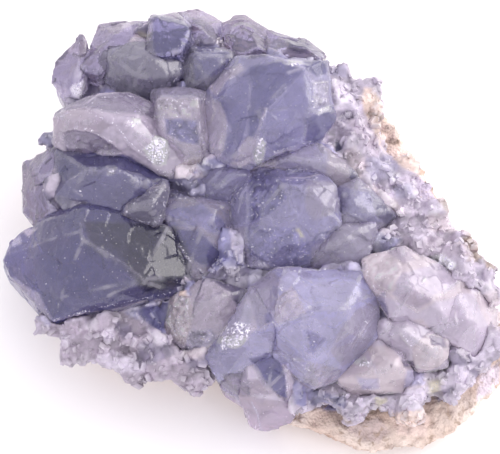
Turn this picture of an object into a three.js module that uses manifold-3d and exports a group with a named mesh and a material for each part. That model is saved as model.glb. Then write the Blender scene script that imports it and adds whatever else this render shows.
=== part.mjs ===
// A hand specimen of celestine: blocky, see-through grey-violet crystals standing on a lilac
// crystalline crust, which sits on cream host rock broken off flat underneath.
//
// Everything is drawn in the frame of the crystal-bearing face: x runs across it, y up it and z out
// of it. The face is then laid back by FACE_TILT, so that the specimen stands on its flat base.
// Lengths are millimetres.
import * as THREE from "three";
import { ConvexGeometry } from "three/addons/geometries/ConvexGeometry.js";
import { ImprovedNoise } from "three/addons/math/ImprovedNoise.js";
import { mergeVertices } from "three/addons/utils/BufferGeometryUtils.js";
import Module from "manifold-3d";

const wasm = await Module();
wasm.setup();

// Driving dimensions
const FACE_TILT = THREE.MathUtils.degToRad(25); // how far the face leans forward from level
const BED_SLOPE = -0.22; // the crystal bed falls this much for each millimetre up the face
const BASE_DROP = 32; // from the middle of the face down to the flat base, measured upright
const CONTACT_GAP = 0.4; // between one crystal and the next, and between crust and rock
const LEAST_TURN = Math.cos(THREE.MathUtils.degToRad(17)); // between faces of one large crystal
const SMALLEST_STEP = 0.2; // steps in a solid's surface finer than this are smoothed away
const SEED = 41; // of the random small crystals

// Outlines of the lumps, as reach from MIDDLE every 15 degrees, anticlockwise from the right
const MIDDLE = { x: 1.25, y: 0.5 };
const CRUST_REACH = [
  49, 39, 37.5, 41, 43, 46, 49, 53, 56, 57, 56, 55, 52, 56, 58, 51, 42, 37, 43, 45, 53, 61, 67, 60,
];
const ROCK_REACH = [
  54, 46, 44, 43.5, 42, 42, 43, 46, 49, 51, 51, 51, 49, 51, 53, 48, 40, 38, 46, 53, 66, 74, 75, 66,
];
const CRUST = { reach: CRUST_REACH, level: -8, rise: 8.5, fall: 12, rough: 1.4, grit: 9, detail: 4 };
const ROCK = { reach: ROCK_REACH, level: -15, rise: 2, fall: 58, rough: 2.4, grit: 13, detail: 7 };
const SIDE_POWER = 0.62; // under 1, so that a lump has steeper sides than an ellipsoid
const CROWN_POWER = 0.85; // under 1, so that its top is flatter

// The flat faces along which the host rock was broken: outward direction, and distance from MIDDLE
const BREAKS = [
  { out: [0.86, 0.5, -0.1], at: 43 },
  { out: [0.72, -0.68, -0.16], at: 71 },
  { out: [0.1, -0.93, -0.35], at: 57 },
  { out: [-0.72, -0.6, -0.36], at: 55 },
  { out: [-0.94, 0.1, -0.34], at: 54 },
  { out: [-0.6, 0.7, -0.4], at: 55 },
  { out: [0.1, 0.9, -0.42], at: 50 },
  { out: [0.75, 0.4, -0.53], at: 52 },
];

// Small crystals scattered over the crust
const GRAIN_TRIES = 3000;
const GRAIN_SPACING = 5.9;
const GRAIN_SIZE = { least: 4.4, most: 9 };

// Each large crystal is drawn by the corners of its crown, [across, up, out], and is carried down
// from there by depth along its growth axis, which leans across and up the face by lean. Crystals
// with one name grew into each other and are one solid. One that comes later in the list stopped
// growing where it met those before it.
const CRYSTALS = [
  {
    name: "crystal_upper_right",
    lean: [0.08, -0.05],
    depth: 14,
    crown: [
      [-2, 40.2, 8], [7.8, 42, 8.5], [18.5, 41.6, 8], [20.2, 35, 7.5], [20.8, 28, 7], [17.5, 22.8, 7],
      [13.2, 21.2, 8], [-0.2, 15.5, 8], [-4.5, 16, 7], [-7.2, 17.2, 5.5], [-11.5, 23, 4],
      [-12.5, 28.8, 4], [-10.2, 33.5, 4.5], [-5.5, 39, 5.5],
      [12.8, 39.2, 14.5], [2.8, 28.8, 17], [2, 21.8, 15], [14.5, 28.8, 14], [-7.2, 31.8, 10],
    ],
  },
  {
    name: "crystal_lower_centre",
    lean: [0.05, -0.15],
    depth: 13,
    crown: [
      [6.8, -11, 6], [27.5, -12, 6], [31.2, -16.2, 5], [31.2, -23.8, 4], [30, -28, 3],
      [24, -33.8, 2], [21, -37.5, 0], [16, -39.5, 0], [12, -36.5, 2], [5, -31, 4], [1, -25, 4],
      [-0.5, -16.2, 4],
      [8, -15.2, 13], [23, -20, 14.5], [13.2, -21.5, 16], [7.2, -22.8, 12.5], [14.8, -32.5, 11.5],
      [23, -25.8, 13],
    ],
  },
  {
    name: "crystal_lower_centre",
    lean: [-0.1, -0.1],
    depth: 13,
    crown: [
      [0.5, -15.8, 7], [-7, -27.6, 3], [-10.8, -32.8, 1], [-8.8, -37, -2], [-2.5, -35.2, 1],
      [5, -31, 5], [6, -23, 11], [-2.5, -26.5, 7.5], [-4, -30, 5],
    ],
  },
  {
    name: "crystal_centre",
    lean: [0.1, -0.1],
    depth: 12,
    crown: [
      [0.5, 12.5, 4], [8.2, 14.2, 5], [17.2, 13.6, 5], [20.8, 10, 7], [22, 0.8, 7.5], [15.5, -8.5, 3],
      [7.8, -10.3, 1.5], [0, -9.6, 1], [-4.2, -7.5, 0], [-4.8, 2.5, 1], [-4, 8.5, 2.5],
      [15, 9.5, 11.5], [7, 8.5, 11.2], [3.5, 1, 9.6], [8, -4.5, 8.6], [17, -2.8, 9.8], [18.2, 5, 11.2],
    ],
  },
  {
    name: "crystal_left_upper",
    lean: [-0.15, 0],
    depth: 12,
    crown: [
      [-48.5, 27.5, 3], [-44.8, 30, 4], [-39.2, 32.4, 5], [-30.5, 32.8, 5.5], [-25.5, 30.2, 6],
      [-23.5, 26.2, 6], [-17.5, 19.2, 4], [-16.5, 15.5, 3], [-19.8, 13.3, 4.5], [-22, 14, 5.5],
      [-26.5, 16.5, 7.5], [-32.2, 19.4, 8], [-38, 20.2, 7.5], [-46.2, 19.4, 3], [-49, 21.5, 2],
      [-44, 25.5, 9], [-35, 27.4, 12.5], [-28.8, 23.4, 12],
    ],
  },
  {
    name: "crystal_left_middle",
    lean: [-0.1, -0.05],
    depth: 12,
    crown: [
      [-48.2, 19, 1.5], [-35.8, 18.8, 4], [-30.2, 17.5, 4], [-25.8, 15.6, 4], [-21.2, 11.6, 3.5],
      [-22.5, 9, 4], [-31.2, 3.8, 5], [-40.8, 6.4, 5], [-46, 4.6, 2], [-47.8, 7.2, 1.5],
      [-47.6, 15.5, 2],
      [-40.5, 14, 9.5], [-32, 13.2, 10.5], [-27.5, 10.6, 9],
    ],
  },
  {
    name: "crystal_left_middle",
    lean: [0.1, -0.2],
    depth: 9,
    crown: [
      [-21.2, 11, 8], [-31.2, 4.2, 7], [-30.8, 3, 5.5], [-25.8, 1, 5], [-22.5, 1.2, 5],
      [-21, 8.8, 6.5], [-25, 5.5, 10.5],
    ],
  },
  {
    name: "crystal_left",
    lean: [0.05, -0.05],
    depth: 13,
    crown: [
      [-61.6, -8.2, -6], [-60, -4.2, -6], [-57.2, -1.2, -5], [-51.5, 0.6, -2], [-47.5, 3.4, 0],
      [-41.5, 5.8, 3], [-31.2, 3.2, 5], [-25.8, 1.2, 5], [-19.8, -0.8, 4], [-16.8, -9, 3],
      [-15.5, -13.2, 2], [-16.8, -16, 1], [-29.8, -18.2, 2], [-49, -23.2, 0], [-52.5, -16.5, -2],
      [-60, -12.2, -6],
      [-41.2, -3.5, 9.5], [-27.5, -12.8, 10], [-46.5, -17.2, 5], [-41, 4.2, 7],
    ],
  },
  {
    name: "crystal_square",
    lean: [-0.1, 0],
    depth: 12,
    crown: [
      [-24.2, 34.2, 4], [-14.8, 34, 5], [-10.9, 32.8, 4.5], [-11.8, 26.8, 4], [-11.8, 20.5, 3],
      [-10.8, 15.5, 1.5], [-15, 14.2, 1.5], [-18.8, 16.8, 3], [-23.8, 26.5, 4],
      [-22.2, 32.2, 9.5], [-13.8, 32.2, 10], [-13, 25.5, 9], [-21.2, 24.8, 9.5], [-16, 19, 6.5],
    ],
  },
  {
    name: "crystal_right_lobe",
    lean: [0, -0.15],
    depth: 11,
    crown: [
      [28.8, -8.2, 5], [34, -6.8, 5.5], [39, -6, 5], [42, -9.8, 5], [47.8, -12.2, 3], [55, -14.5, -3],
      [53, -25.8, -2], [51.8, -29.5, 0], [44.2, -24.8, 4], [39.8, -21.8, 6], [35.5, -22.8, 6],
      [33, -17.5, 7], [29, -12.2, 7],
      [37.5, -14.5, 11], [45, -18.2, 9.5],
    ],
  },
  {
    name: "crystal_right_lobe",
    lean: [0.25, -0.1],
    depth: 9,
    crown: [
      [44.2, -24.8, 4], [50, -15, 1], [57, -15.5, -3], [61.8, -20, -9], [61.8, -28, -10],
      [59, -32.6, -7], [56.5, -33, -4], [51.8, -29.6, 0], [55, -23.2, 4.5], [50, -24, 5],
    ],
  },
  {
    name: "crystal_upper_left",
    lean: [-0.1, 0.2],
    depth: 11,
    crown: [
      [-25, 53.2, -2], [-18.5, 54.4, -4], [-14.8, 50.8, -1], [-15, 46.8, 0], [-17.2, 42.2, 1],
      [-24.8, 42, 2], [-24.6, 52.2, 4], [-15.6, 50.2, 5], [-17.5, 44.6, 6.5], [-24.5, 43, 6.5],
    ],
  },
  {
    name: "crystal_upper_left",
    lean: [-0.2, 0.1],
    depth: 11,
    crown: [
      [-35.5, 45, 1], [-25, 45.8, 3], [-20, 42.2, 4], [-17.2, 39.2, 3], [-22.5, 33.8, 2],
      [-29.5, 32.8, 1], [-35.8, 36.5, 0], [-36.8, 41.8, 0],
      [-26, 41.8, 8], [-28.2, 38, 8], [-33, 41.8, 6], [-21.2, 38, 7],
    ],
  },
  {
    name: "crystal_upper_middle",
    lean: [0, 0.15],
    depth: 13,
    crown: [
      [-14.5, 45, 1], [-4.2, 43.8, 1.5], [-5.2, 40.2, 3.5], [-10.8, 34.4, 3], [-15.8, 34.6, 2],
      [-17.2, 38, 1], [-13.8, 41.8, 7], [-7.5, 41.2, 7], [-11.2, 38, 7],
    ],
  },
  {
    name: "crystal_inner_left",
    lean: [0, -0.1],
    depth: 13,
    crown: [
      [-21, 8.8, 2], [-12.5, 6.8, 2], [-5, 5.8, 2], [-5, -7.5, 0], [-10.8, -12.8, 0.5],
      [-15.5, -13, 1], [-16.8, -9, 2], [-19.8, -0.8, 3], [-12, -1, 6], [-9, 4, 5.5],
    ],
  },
  {
    name: "crystal_inner_left",
    lean: [-0.1, 0.1],
    depth: 12,
    crown: [
      [-7.8, 15, 3], [-2.5, 15.4, 4], [0.2, 12.5, 4], [-4.2, 8.5, 3], [-4.8, 6.8, 2],
      [-12.2, 6.8, 1.5], [-11.8, 11.2, 2], [-7.5, 10, 6.5], [-3.4, 13.2, 6.5],
    ],
  },
  {
    name: "crystal_lower_left",
    lean: [0.1, 0.1],
    depth: 13,
    crown: [
      [-21, -27, -1], [-18.8, -18.2, 2], [-10.8, -13.5, 4.5], [-1, -16.2, 5], [-7.2, -28.4, 2],
      [-16.2, -31.2, -2], [-11.2, -19.5, 7.5], [-7, -17.5, 7.5],
    ],
  },
  {
    name: "crystal_right_middle",
    lean: [0.1, 0.1],
    depth: 11,
    crown: [
      [22.5, 9.5, 4], [26.8, 11.8, 3.5], [31.5, 6.8, 3], [35.5, 2.8, 1], [31.2, -0.2, 2],
      [22.8, 0.6, 5], [25.5, 5.6, 8], [29, 3, 6.5],
    ],
  },
  {
    name: "crystal_right_middle",
    lean: [0.15, -0.05],
    depth: 13,
    crown: [
      [16.2, -3, 6], [22.2, -0.4, 7], [30.2, 0.6, 5], [31.2, -1, 4], [28.5, -7.2, 4],
      [25, -10.6, 2], [15.2, -9.2, 2], [23.8, -3.2, 8.5], [19, -5.5, 7.5],
    ],
  },
  {
    name: "crystal_right_upper",
    lean: [0.1, 0.1],
    depth: 13,
    crown: [
      [14.6, 21, 5], [18, 19.4, 5], [23.8, 15.5, 3], [26.8, 11.8, 2], [21.2, 10.2, 3],
      [12.5, 14.8, 4], [0.5, 14, 3], [0, 15.4, 4], [18.8, 15.5, 8], [10, 17, 8],
    ],
  },
  {
    name: "crystal_foot",
    lean: [0, -0.4],
    depth: 10,
    crown: [
      [0, -32, 3], [6, -31.8, 4], [9.6, -34.4, 3], [10.6, -40, -1], [11.2, -47, -9],
      [10, -49, -11], [4, -51, -12], [0, -50, -11], [-0.6, -45.8, -8], [-2.6, -42, -5],
      [-1.2, -35.8, 1], [4.5, -39.5, 3.5],
    ],
  },
  {
    name: "crystal_foot_left",
    lean: [-0.1, 0.1],
    depth: 10,
    crown: [
      [-6.8, -39.6, -6], [-8.8, -36.4, -3], [-3.8, -34.6, 0], [-1, -36.4, 0], [-1.6, -43.2, -8],
      [-4.2, -37.5, 0.5],
    ],
  },
  {
    name: "crystal_lower_right",
    lean: [0.1, -0.1],
    depth: 12,
    crown: [
      [32.5, -24, 4], [40, -22.5, 5], [44.5, -25.8, 4], [48.8, -28.8, 2], [49.2, -34.8, -1],
      [42, -35.2, 1], [37.5, -31.2, 3], [32, -27.8, 3], [37.5, -25.8, 8], [44.5, -30.8, 6],
    ],
  },
  {
    name: "crystal_lower_right",
    lean: [0.1, -0.1],
    depth: 13,
    crown: [
      [27.8, -33, 2], [31.5, -28.2, 3], [37.5, -31.2, 4], [40.5, -37.8, 1], [38.8, -40.8, -1],
      [33.2, -41.2, -2], [24, -41.8, -4], [22.5, -37.5, 0], [30, -36, 6], [35, -34.5, 7],
    ],
  },
  {
    name: "crystal_rim_left",
    lean: [-0.15, 0.15],
    depth: 12,
    crown: [
      [-42.5, 48.6, -3], [-45.5, 43, -4], [-40.5, 42.6, -2.5], [-43.5, 38, 0], [-49, 42.2, -6],
      [-49.8, 36.2, -5], [-47, 33, -3], [-43.5, 33.5, 0],
    ],
  },
  {
    name: "crystal_rim_left",
    lean: [-0.1, 0.25],
    depth: 12,
    crown: [
      [-39.8, 47, -4], [-37.2, 51.6, -7], [-30, 51.9, -7], [-25.6, 52.4, -6], [-27, 47, 0], [-36, 45.2, 1],
      [-42, 40, 0], [-38, 39, 2.5], [-34, 48.5, 1],
    ],
  },
  {
    name: "crystal_rim_top",
    lean: [0, 0.25],
    depth: 12,
    crown: [
      [-18.5, 54.6, -8], [-13.2, 55.2, -8], [-8.8, 53.4, -9], [-6.5, 51.8, -8], [-8, 45.2, -1],
      [-14, 45.6, 0], [-14.4, 50.8, 0], [-12.5, 50.4, 1.5],
    ],
  },
  {
    name: "crystal_rim_top",
    lean: [0.05, 0.25],
    depth: 12,
    crown: [
      [-7.5, 51.6, -7], [-3.8, 53.7, -8], [-1.5, 53.7, -8], [4.5, 50.2, -7], [4.5, 44, 1],
      [-2.5, 43.4, 2], [-6, 46.2, -1], [-1.2, 49.6, 1.5], [2, 45.5, 3],
    ],
  },
  {
    name: "crystal_rim_top",
    lean: [0.1, 0.2],
    depth: 12,
    crown: [
      [4, 49.4, -5], [8.8, 48.8, -6], [14.5, 47.4, -6], [19.4, 43.2, -4], [18, 42.2, 0],
      [8.8, 42.6, 2], [4.5, 43.8, 1], [11.2, 45.4, 3], [16, 43.8, 1.5],
    ],
  },
  {
    name: "crystal_rim_west",
    lean: [-0.2, 0.1],
    depth: 12,
    crown: [
      [-57.4, 16.4, -7], [-53.5, 17.4, -5], [-49.2, 19.6, -1], [-49, 13, 1], [-51.5, 9.8, 0],
      [-55, 10.8, -3], [-53.2, 13.5, 0.5], [-57.2, 8, -8], [-56.4, 3, -8], [-53, -0.2, -6],
      [-49, 3.2, -2],
    ],
  },
];

// A repeatable stream of random numbers from 0 to 1
function randomStream(seed) {
  let state = seed;
  return () => {
    state = (state + 0x6d2b79f5) | 0;
    let mixed = Math.imul(state ^ (state >>> 15), 1 | state);
    mixed = (mixed + Math.imul(mixed ^ (mixed >>> 7), 61 | mixed)) ^ mixed;
    return ((mixed ^ (mixed >>> 14)) >>> 0) / 4294967296;
  };
}

// A closed three.js geometry as a solid that can be joined and cut
function solidOf(geometry) {
  const bare = geometry.clone();
  bare.deleteAttribute("normal");
  bare.deleteAttribute("uv");
  const merged = mergeVertices(bare, 1e-4);
  const vertProperties = merged.attributes.position.array;
  const triVerts = new Uint32Array(merged.index.array);
  return new wasm.Manifold(new wasm.Mesh({ numProp: 3, vertProperties, triVerts }));
}

function geometryOf(solid) {
  const mesh = solid.getMesh();
  const geometry = new THREE.BufferGeometry();
  geometry.setAttribute("position", new THREE.BufferAttribute(mesh.vertProperties, 3));
  geometry.setIndex(new THREE.BufferAttribute(mesh.triVerts, 1));
  return geometry;
}

// The biggest of the bodies that a cut left
function biggestOf(solid) {
  const bodies = solid.decompose();
  return bodies.reduce((best, body) => (body.volume() > best.volume() ? body : best));
}

// The broadest flat faces round some points, leaving out those that turn little from a broader one
function planesOf(points) {
  const position = new ConvexGeometry(points).attributes.position;
  const facets = [];
  for (let i = 0; i < position.count; i += 3) {
    const corner = [0, 1, 2].map((k) => new THREE.Vector3().fromBufferAttribute(position, i + k));
    const area = new THREE.Triangle(...corner).getArea();
    const plane = new THREE.Plane().setFromCoplanarPoints(...corner);
    const twin = facets.find((facet) => facet.plane.normal.dot(plane.normal) > 0.9999);
    if (twin) twin.area += area;
    else facets.push({ plane, area });
  }
  facets.sort((one, other) => other.area - one.area);
  return facets.reduce((kept, { plane }) => {
    const isNew = kept.every((other) => other.normal.dot(plane.normal) < LEAST_TURN);
    return isNew ? [...kept, plane] : kept;
  }, []);
}

// The corners of the convex body inside all the planes
function cornersOf(planes) {
  const corners = [];
  const inverse = new THREE.Matrix3();
  planes.forEach((a, i) =>
    planes.slice(i + 1).forEach((b, j) =>
      planes.slice(i + j + 2).forEach((c) => {
        inverse.set(...a.normal.toArray(), ...b.normal.toArray(), ...c.normal.toArray());
        if (Math.abs(inverse.determinant()) < 1e-5) return;
        const constants = new THREE.Vector3(-a.constant, -b.constant, -c.constant);
        const corner = constants.applyMatrix3(inverse.invert());
        if (planes.every((plane) => plane.distanceToPoint(corner) < 1e-4)) corners.push(corner);
      }),
    ),
  );
  return corners;
}

// A large crystal's corners: its crown, and the same corners carried down its growth axis
function crystalCorners({ crown, lean, depth }) {
  const axis = new THREE.Vector3(lean[0], lean[1] - BED_SLOPE, 1).normalize();
  const top = crown.map(([x, y, z]) => new THREE.Vector3(x, y, z + BED_SLOPE * y));
  const root = top.map((corner) => corner.clone().addScaledVector(axis, -depth));
  return [...top, ...root];
}

// The crystal with every face moved out by swell, which is the room it takes from its neighbours
function crystalSolid(crystal, swell = 0) {
  const planes = planesOf(crystalCorners(crystal));
  planes.forEach((plane) => (plane.constant -= swell));
  return solidOf(new ConvexGeometry(cornersOf(planes)));
}

// The reach of an outline at an angle, eased between its stated values
function reachAt(outline, angle) {
  const turn = THREE.MathUtils.euclideanModulo(angle / (2 * Math.PI), 1) * outline.length;
  const step = Math.floor(turn);
  const ease = THREE.MathUtils.smoothstep(turn - step, 0, 1);
  const next = outline[(step + 1) % outline.length];
  return THREE.MathUtils.lerp(outline[step % outline.length], next, ease);
}

const noise = new ImprovedNoise();

// Lumps of two sizes: broad swells of the given pitch, and ledges a third of that
function roughness(point, pitch) {
  const swell = noise.noise(point.x / pitch, point.y / pitch, point.z / pitch);
  const fine = pitch / 3;
  const ledge = noise.noise(point.x / fine + 7, point.y / fine, point.z / fine);
  return swell + 0.45 * ledge;
}

// Where a lump's surface lies in a direction from its middle, with its faces moved out by swell
function lumpPoint(lump, direction, swell = 0) {
  const angle = Math.atan2(direction.y, direction.x);
  const upward = THREE.MathUtils.clamp(direction.z, -1, 1);
  const flat = Math.pow(Math.sqrt(Math.max(1 - upward * upward, 0)), SIDE_POWER);
  const crown = Math.sign(upward) * Math.pow(Math.abs(upward), CROWN_POWER);
  const reach = (reachAt(lump.reach, angle) + swell) * flat;
  const height = ((upward > 0 ? lump.rise : lump.fall) + swell) * crown;
  const point = new THREE.Vector3(reach * Math.cos(angle), reach * Math.sin(angle), height);
  const shift = lump.rough * roughness(point, lump.grit);
  return point.addScaledVector(direction, shift);
}

// Sets a point of a lump in place on the sloping bed, which it follows less the deeper it lies
function onBed(lump, point) {
  const y = point.y + MIDDLE.y;
  const follow = THREE.MathUtils.mapLinear(THREE.MathUtils.clamp(point.z, -12, 0), -12, 0, 0.6, 1);
  return new THREE.Vector3(point.x + MIDDLE.x, y, point.z + lump.level + BED_SLOPE * y * follow);
}

// A lump with flat breaks: points beyond a break are drawn back to it
function lumpSolid(lump, breaks = [], swell = 0) {
  const geometry = mergeVertices(bareSphere(lump.detail), 1e-4);
  const position = geometry.attributes.position;
  const direction = new THREE.Vector3();
  for (let i = 0; i < position.count; i++) {
    direction.fromBufferAttribute(position, i).normalize();
    const point = lumpPoint(lump, direction, swell);
    for (const { out, at } of breaks) {
      const beyond = point.dot(new THREE.Vector3(...out).normalize()) / (at + swell);
      if (beyond > 1) point.divideScalar(beyond);
    }
    position.setXYZ(i, ...onBed(lump, point).toArray());
  }
  return solidOf(geometry);
}

function bareSphere(detail) {
  const sphere = new THREE.IcosahedronGeometry(1, detail);
  sphere.deleteAttribute("normal");
  sphere.deleteAttribute("uv");
  return sphere;
}

// A small blocky crystal with a chisel tip, standing on a point and pointing along direction
function grainSolid(random, place, direction) {
  const size = THREE.MathUtils.lerp(GRAIN_SIZE.least, GRAIN_SIZE.most, random() ** 1.8);
  const wide = size * (0.42 + 0.2 * random());
  const deep = size * (0.3 + 0.18 * random());
  const ridge = wide * (0.25 + 0.6 * random());
  const tip = size * (0.55 + 0.35 * random());
  const shoulder = tip * (0.25 + 0.4 * random());
  const corners = [];
  for (const x of [-wide, wide])
    for (const y of [-deep, deep]) {
      corners.push(new THREE.Vector3(x, y, -size * 0.6), new THREE.Vector3(x, y, shoulder));
    }
  for (const x of [-ridge, ridge]) corners.push(new THREE.Vector3(x, deep * (random() - 0.5), tip));
  const stand = new THREE.Quaternion().setFromUnitVectors(new THREE.Vector3(0, 0, 1), direction);
  const spin = new THREE.Quaternion().setFromAxisAngle(new THREE.Vector3(0, 0, 1), Math.PI * random());
  stand.multiply(spin);
  corners.forEach((corner) => corner.applyQuaternion(stand).add(place));
  return solidOf(new ConvexGeometry(corners));
}

// True where a large crystal already fills the spot
function isTaken(place, bodies) {
  return bodies.some((planes) => planes.every((plane) => plane.distanceToPoint(place) < 0));
}

// Small crystals strewn evenly over the upper side of the crust, wherever it lies open
function grains(random) {
  const bodies = CRYSTALS.map((crystal) => planesOf(crystalCorners(crystal)));
  const places = [];
  const solids = [];
  for (let i = 0; i < GRAIN_TRIES; i++) {
    const angle = 2 * Math.PI * random();
    const flat = Math.sqrt(random()) ** (1 / SIDE_POWER);
    const upward = Math.sqrt(1 - flat * flat);
    const direction = new THREE.Vector3(flat * Math.cos(angle), flat * Math.sin(angle), upward);
    const place = onBed(CRUST, lumpPoint(CRUST, direction));
    const isCrowded = places.some((other) => other.distanceTo(place) < GRAIN_SPACING);
    if (isCrowded || isTaken(place, bodies)) continue;
    const lean = new THREE.Vector3(random() - 0.5, random() - 0.5, random() - 0.5);
    const outward = direction.clone().add(new THREE.Vector3(0, 0.2, 0.7)).addScaledVector(lean, 1.3);
    places.push(place);
    solids.push(grainSolid(random, place, outward.normalize()));
  }
  return solids;
}

// Everything below the flat base, as a block to cut away
function belowBase() {
  const size = 400;
  const block = new THREE.BoxGeometry(size, size, size);
  block.translate(0, 0, -size / 2 - BASE_DROP);
  block.rotateX(-FACE_TILT);
  return solidOf(block);
}

const MATERIALS = {
  blue: new THREE.MeshStandardMaterial({ color: "#8683a8", roughness: 0.12, metalness: 0 }),
  dark: new THREE.MeshStandardMaterial({ color: "#6c6a8c", roughness: 0.12, metalness: 0 }),
  pale: new THREE.MeshStandardMaterial({ color: "#aaa1b8", roughness: 0.18, metalness: 0 }),
  crust: new THREE.MeshStandardMaterial({ color: "#c4b9cd", roughness: 0.4, metalness: 0 }),
  rock: new THREE.MeshStandardMaterial({ color: "#e2cdbf", roughness: 0.9, metalness: 0 }),
};
const DARK_CRYSTALS = ["crystal_left", "crystal_left_middle", "crystal_upper_left", "crystal_upper_middle"];
const PALE_CRYSTALS = ["crystal_right_lobe", "crystal_lower_right", "crystal_left_upper", "crystal_foot"];

function crystalMaterial(name) {
  if (DARK_CRYSTALS.includes(name)) return MATERIALS.dark;
  return PALE_CRYSTALS.includes(name) ? MATERIALS.pale : MATERIALS.blue;
}

function meshOf(name, solid, material) {
  const body = biggestOf(solid.simplify(SMALLEST_STEP));
  const mesh = new THREE.Mesh(geometryOf(body), material);
  mesh.name = name;
  return mesh;
}

// The crystals, each cut back from the rock, the base and every crystal before it
function crystalMeshes(rockRoom, base) {
  const names = [...new Set(CRYSTALS.map(({ name }) => name))];
  let taken = rockRoom.add(base);
  const meshes = names.map((name) => {
    const members = CRYSTALS.filter((crystal) => crystal.name === name);
    const grown = wasm.Manifold.union(members.map((crystal) => crystalSolid(crystal)));
    const mesh = meshOf(name, grown.subtract(taken), crystalMaterial(name));
    taken = wasm.Manifold.union([taken, ...members.map((crystal) => crystalSolid(crystal, CONTACT_GAP))]);
    return mesh;
  });
  return { meshes, taken };
}

function buildSpecimen() {
  const base = belowBase();
  const rock = lumpSolid(ROCK, BREAKS).subtract(base);
  const rockRoom = lumpSolid(ROCK, BREAKS, 1.8 * CONTACT_GAP);
  const { meshes, taken } = crystalMeshes(rockRoom, base);
  const crust = wasm.Manifold.union([lumpSolid(CRUST), ...grains(randomStream(SEED))]).subtract(taken);

  const face = new THREE.Group();
  face.add(meshOf("host_rock", rock, MATERIALS.rock));
  face.add(meshOf("crystal_crust", crust, MATERIALS.crust));
  face.add(...meshes);
  face.rotation.x = FACE_TILT;

  const specimen = new THREE.Group();
  specimen.add(face);
  const box = new THREE.Box3().setFromObject(specimen, true);
  const middle = box.getCenter(new THREE.Vector3());
  face.position.set(-middle.x, -middle.y, -box.min.z);
  return specimen;
}

export default buildSpecimen();
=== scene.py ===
"""Looks of a celestine crystal cluster on its host rock.

Each large crystal, the crust and the rock are resampled from their solids and then carved with
numpy: growth steps, chips, blocky small crystals and grit. Everything is in metres, in the frame
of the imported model, which stands on its flat base with +Z up.
"""
import logging
import math
from dataclasses import dataclass, field
from enum import Enum, IntEnum

import bmesh
import bpy
import numpy as np
from mathutils import Matrix, Vector
from mathutils.bvhtree import BVHTree


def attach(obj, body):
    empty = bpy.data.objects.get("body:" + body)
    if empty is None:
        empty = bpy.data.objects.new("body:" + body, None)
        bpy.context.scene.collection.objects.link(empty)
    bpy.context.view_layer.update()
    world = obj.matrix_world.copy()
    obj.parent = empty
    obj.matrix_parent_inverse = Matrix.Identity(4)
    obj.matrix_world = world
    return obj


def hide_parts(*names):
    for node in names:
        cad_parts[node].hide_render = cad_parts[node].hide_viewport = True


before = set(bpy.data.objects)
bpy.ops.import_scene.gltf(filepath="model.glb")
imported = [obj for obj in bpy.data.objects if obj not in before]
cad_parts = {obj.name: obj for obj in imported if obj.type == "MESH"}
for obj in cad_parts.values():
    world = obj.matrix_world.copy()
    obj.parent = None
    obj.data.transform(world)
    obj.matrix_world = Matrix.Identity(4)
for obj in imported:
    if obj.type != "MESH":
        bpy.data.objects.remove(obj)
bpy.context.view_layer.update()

MM = 0.001
FACE_TILT = math.radians(25)  # the crystal-bearing face leans this far forward from level
FACE_MIDDLE = np.array([-2.32, -4.74, 32.0]) * MM  # the point of the face that the camera looks at
ACROSS = np.array([1.0, 0.0, 0.0])
UP_FACE = np.array([0.0, math.cos(FACE_TILT), math.sin(FACE_TILT)])
OUT_OF_FACE = np.array([0.0, -math.sin(FACE_TILT), math.cos(FACE_TILT)])

PHOTO_WIDTH, PHOTO_HEIGHT = 500, 454
PIXEL = 0.25 * MM  # one pixel of the picture, on the face
VIEW_DISTANCE = 1.2  # from the eye to the face
GOLDEN_ANGLE = math.radians(137.5)
WELD_DISTANCE = 0.002 * MM  # corners of a solid that are closer than this are one
CELESTINE_INDEX = 1.62  # how strongly celestine bends light
TIP_PALENESS = 0.45  # how far the tips of small crystals fade to white

log = logging.getLogger("celestine")


class Pattern(IntEnum):
    """Seeds of the random patterns, one for each use of noise or dice."""

    TERRACES = 3
    BLOCKS = 5
    SMALL_CRYSTALS = 7
    SMALL_FACETS = 9
    GRAIN = 11
    FACETS = 19
    CHIPS = 23
    SPLINTERS = 29
    WEAR = 31
    PEACHY_STAINS = 37
    LEDGES = 41
    BROKEN_FACES = 43
    GRIT = 47
    WANDER_ACROSS = 61
    WANDER_DOWN = 67
    CRUMBS = 71
    COARSE_TONES = 81
    FINE_TONES = 83


# Noise, worked out on whole arrays

MIXERS = (0x9E3779B97F4A7C15, 0xC2B2AE3D27D4EB4F, 0x165667B19E3779F9)  # one for each axis
STIRRER = 0xBF58476D1CE4E5B9
FRACTAL_SPREAD = 1.6  # brings the sum of the octaves back to about -1 to 1


def hashed(cells: np.ndarray, seed: int) -> np.ndarray:
    """Repeatable random numbers from 0 to 1 for whole-number cells.

    Args:
        cells: Whole numbers, shape (..., 3).
        seed: Picks another set of numbers.

    Returns:
        Three independent numbers for each cell, shape (..., 3).
    """
    mixed = np.full(cells.shape[:-1], seed * 7919 + 17, np.uint64)
    for axis, mixer in enumerate(MIXERS):
        mixed ^= cells[..., axis].astype(np.int64).astype(np.uint64) * np.uint64(mixer)
    columns = []
    for _ in range(3):
        mixed = mixed ^ (mixed >> np.uint64(29))
        mixed = mixed * np.uint64(STIRRER)
        mixed = mixed ^ (mixed >> np.uint64(32))
        columns.append((mixed >> np.uint64(11)).astype(np.float64) / float(1 << 53))
    return np.stack(columns, -1)


def swell_noise(points: np.ndarray, pitch: float, seed: int) -> np.ndarray:
    """Smooth noise from -1 to 1: random heights on a lattice, eased between with 3t^2 - 2t^3.

    Args:
        points: Places in metres, shape (n, 3).
        pitch: Lattice spacing in metres.
        seed: Picks another set of heights.

    Returns:
        One height for each point.
    """
    scaled = points / pitch
    cell = np.floor(scaled)
    t = scaled - cell
    t = t * t * (3 - 2 * t)
    total = np.zeros(len(points))
    for corner in np.ndindex(2, 2, 2):
        step = np.array(corner)
        share = np.prod(np.where(step, t, 1 - t), axis=1)
        total += share * hashed(cell + step, seed)[:, 0]
    return 2 * total - 1


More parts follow.
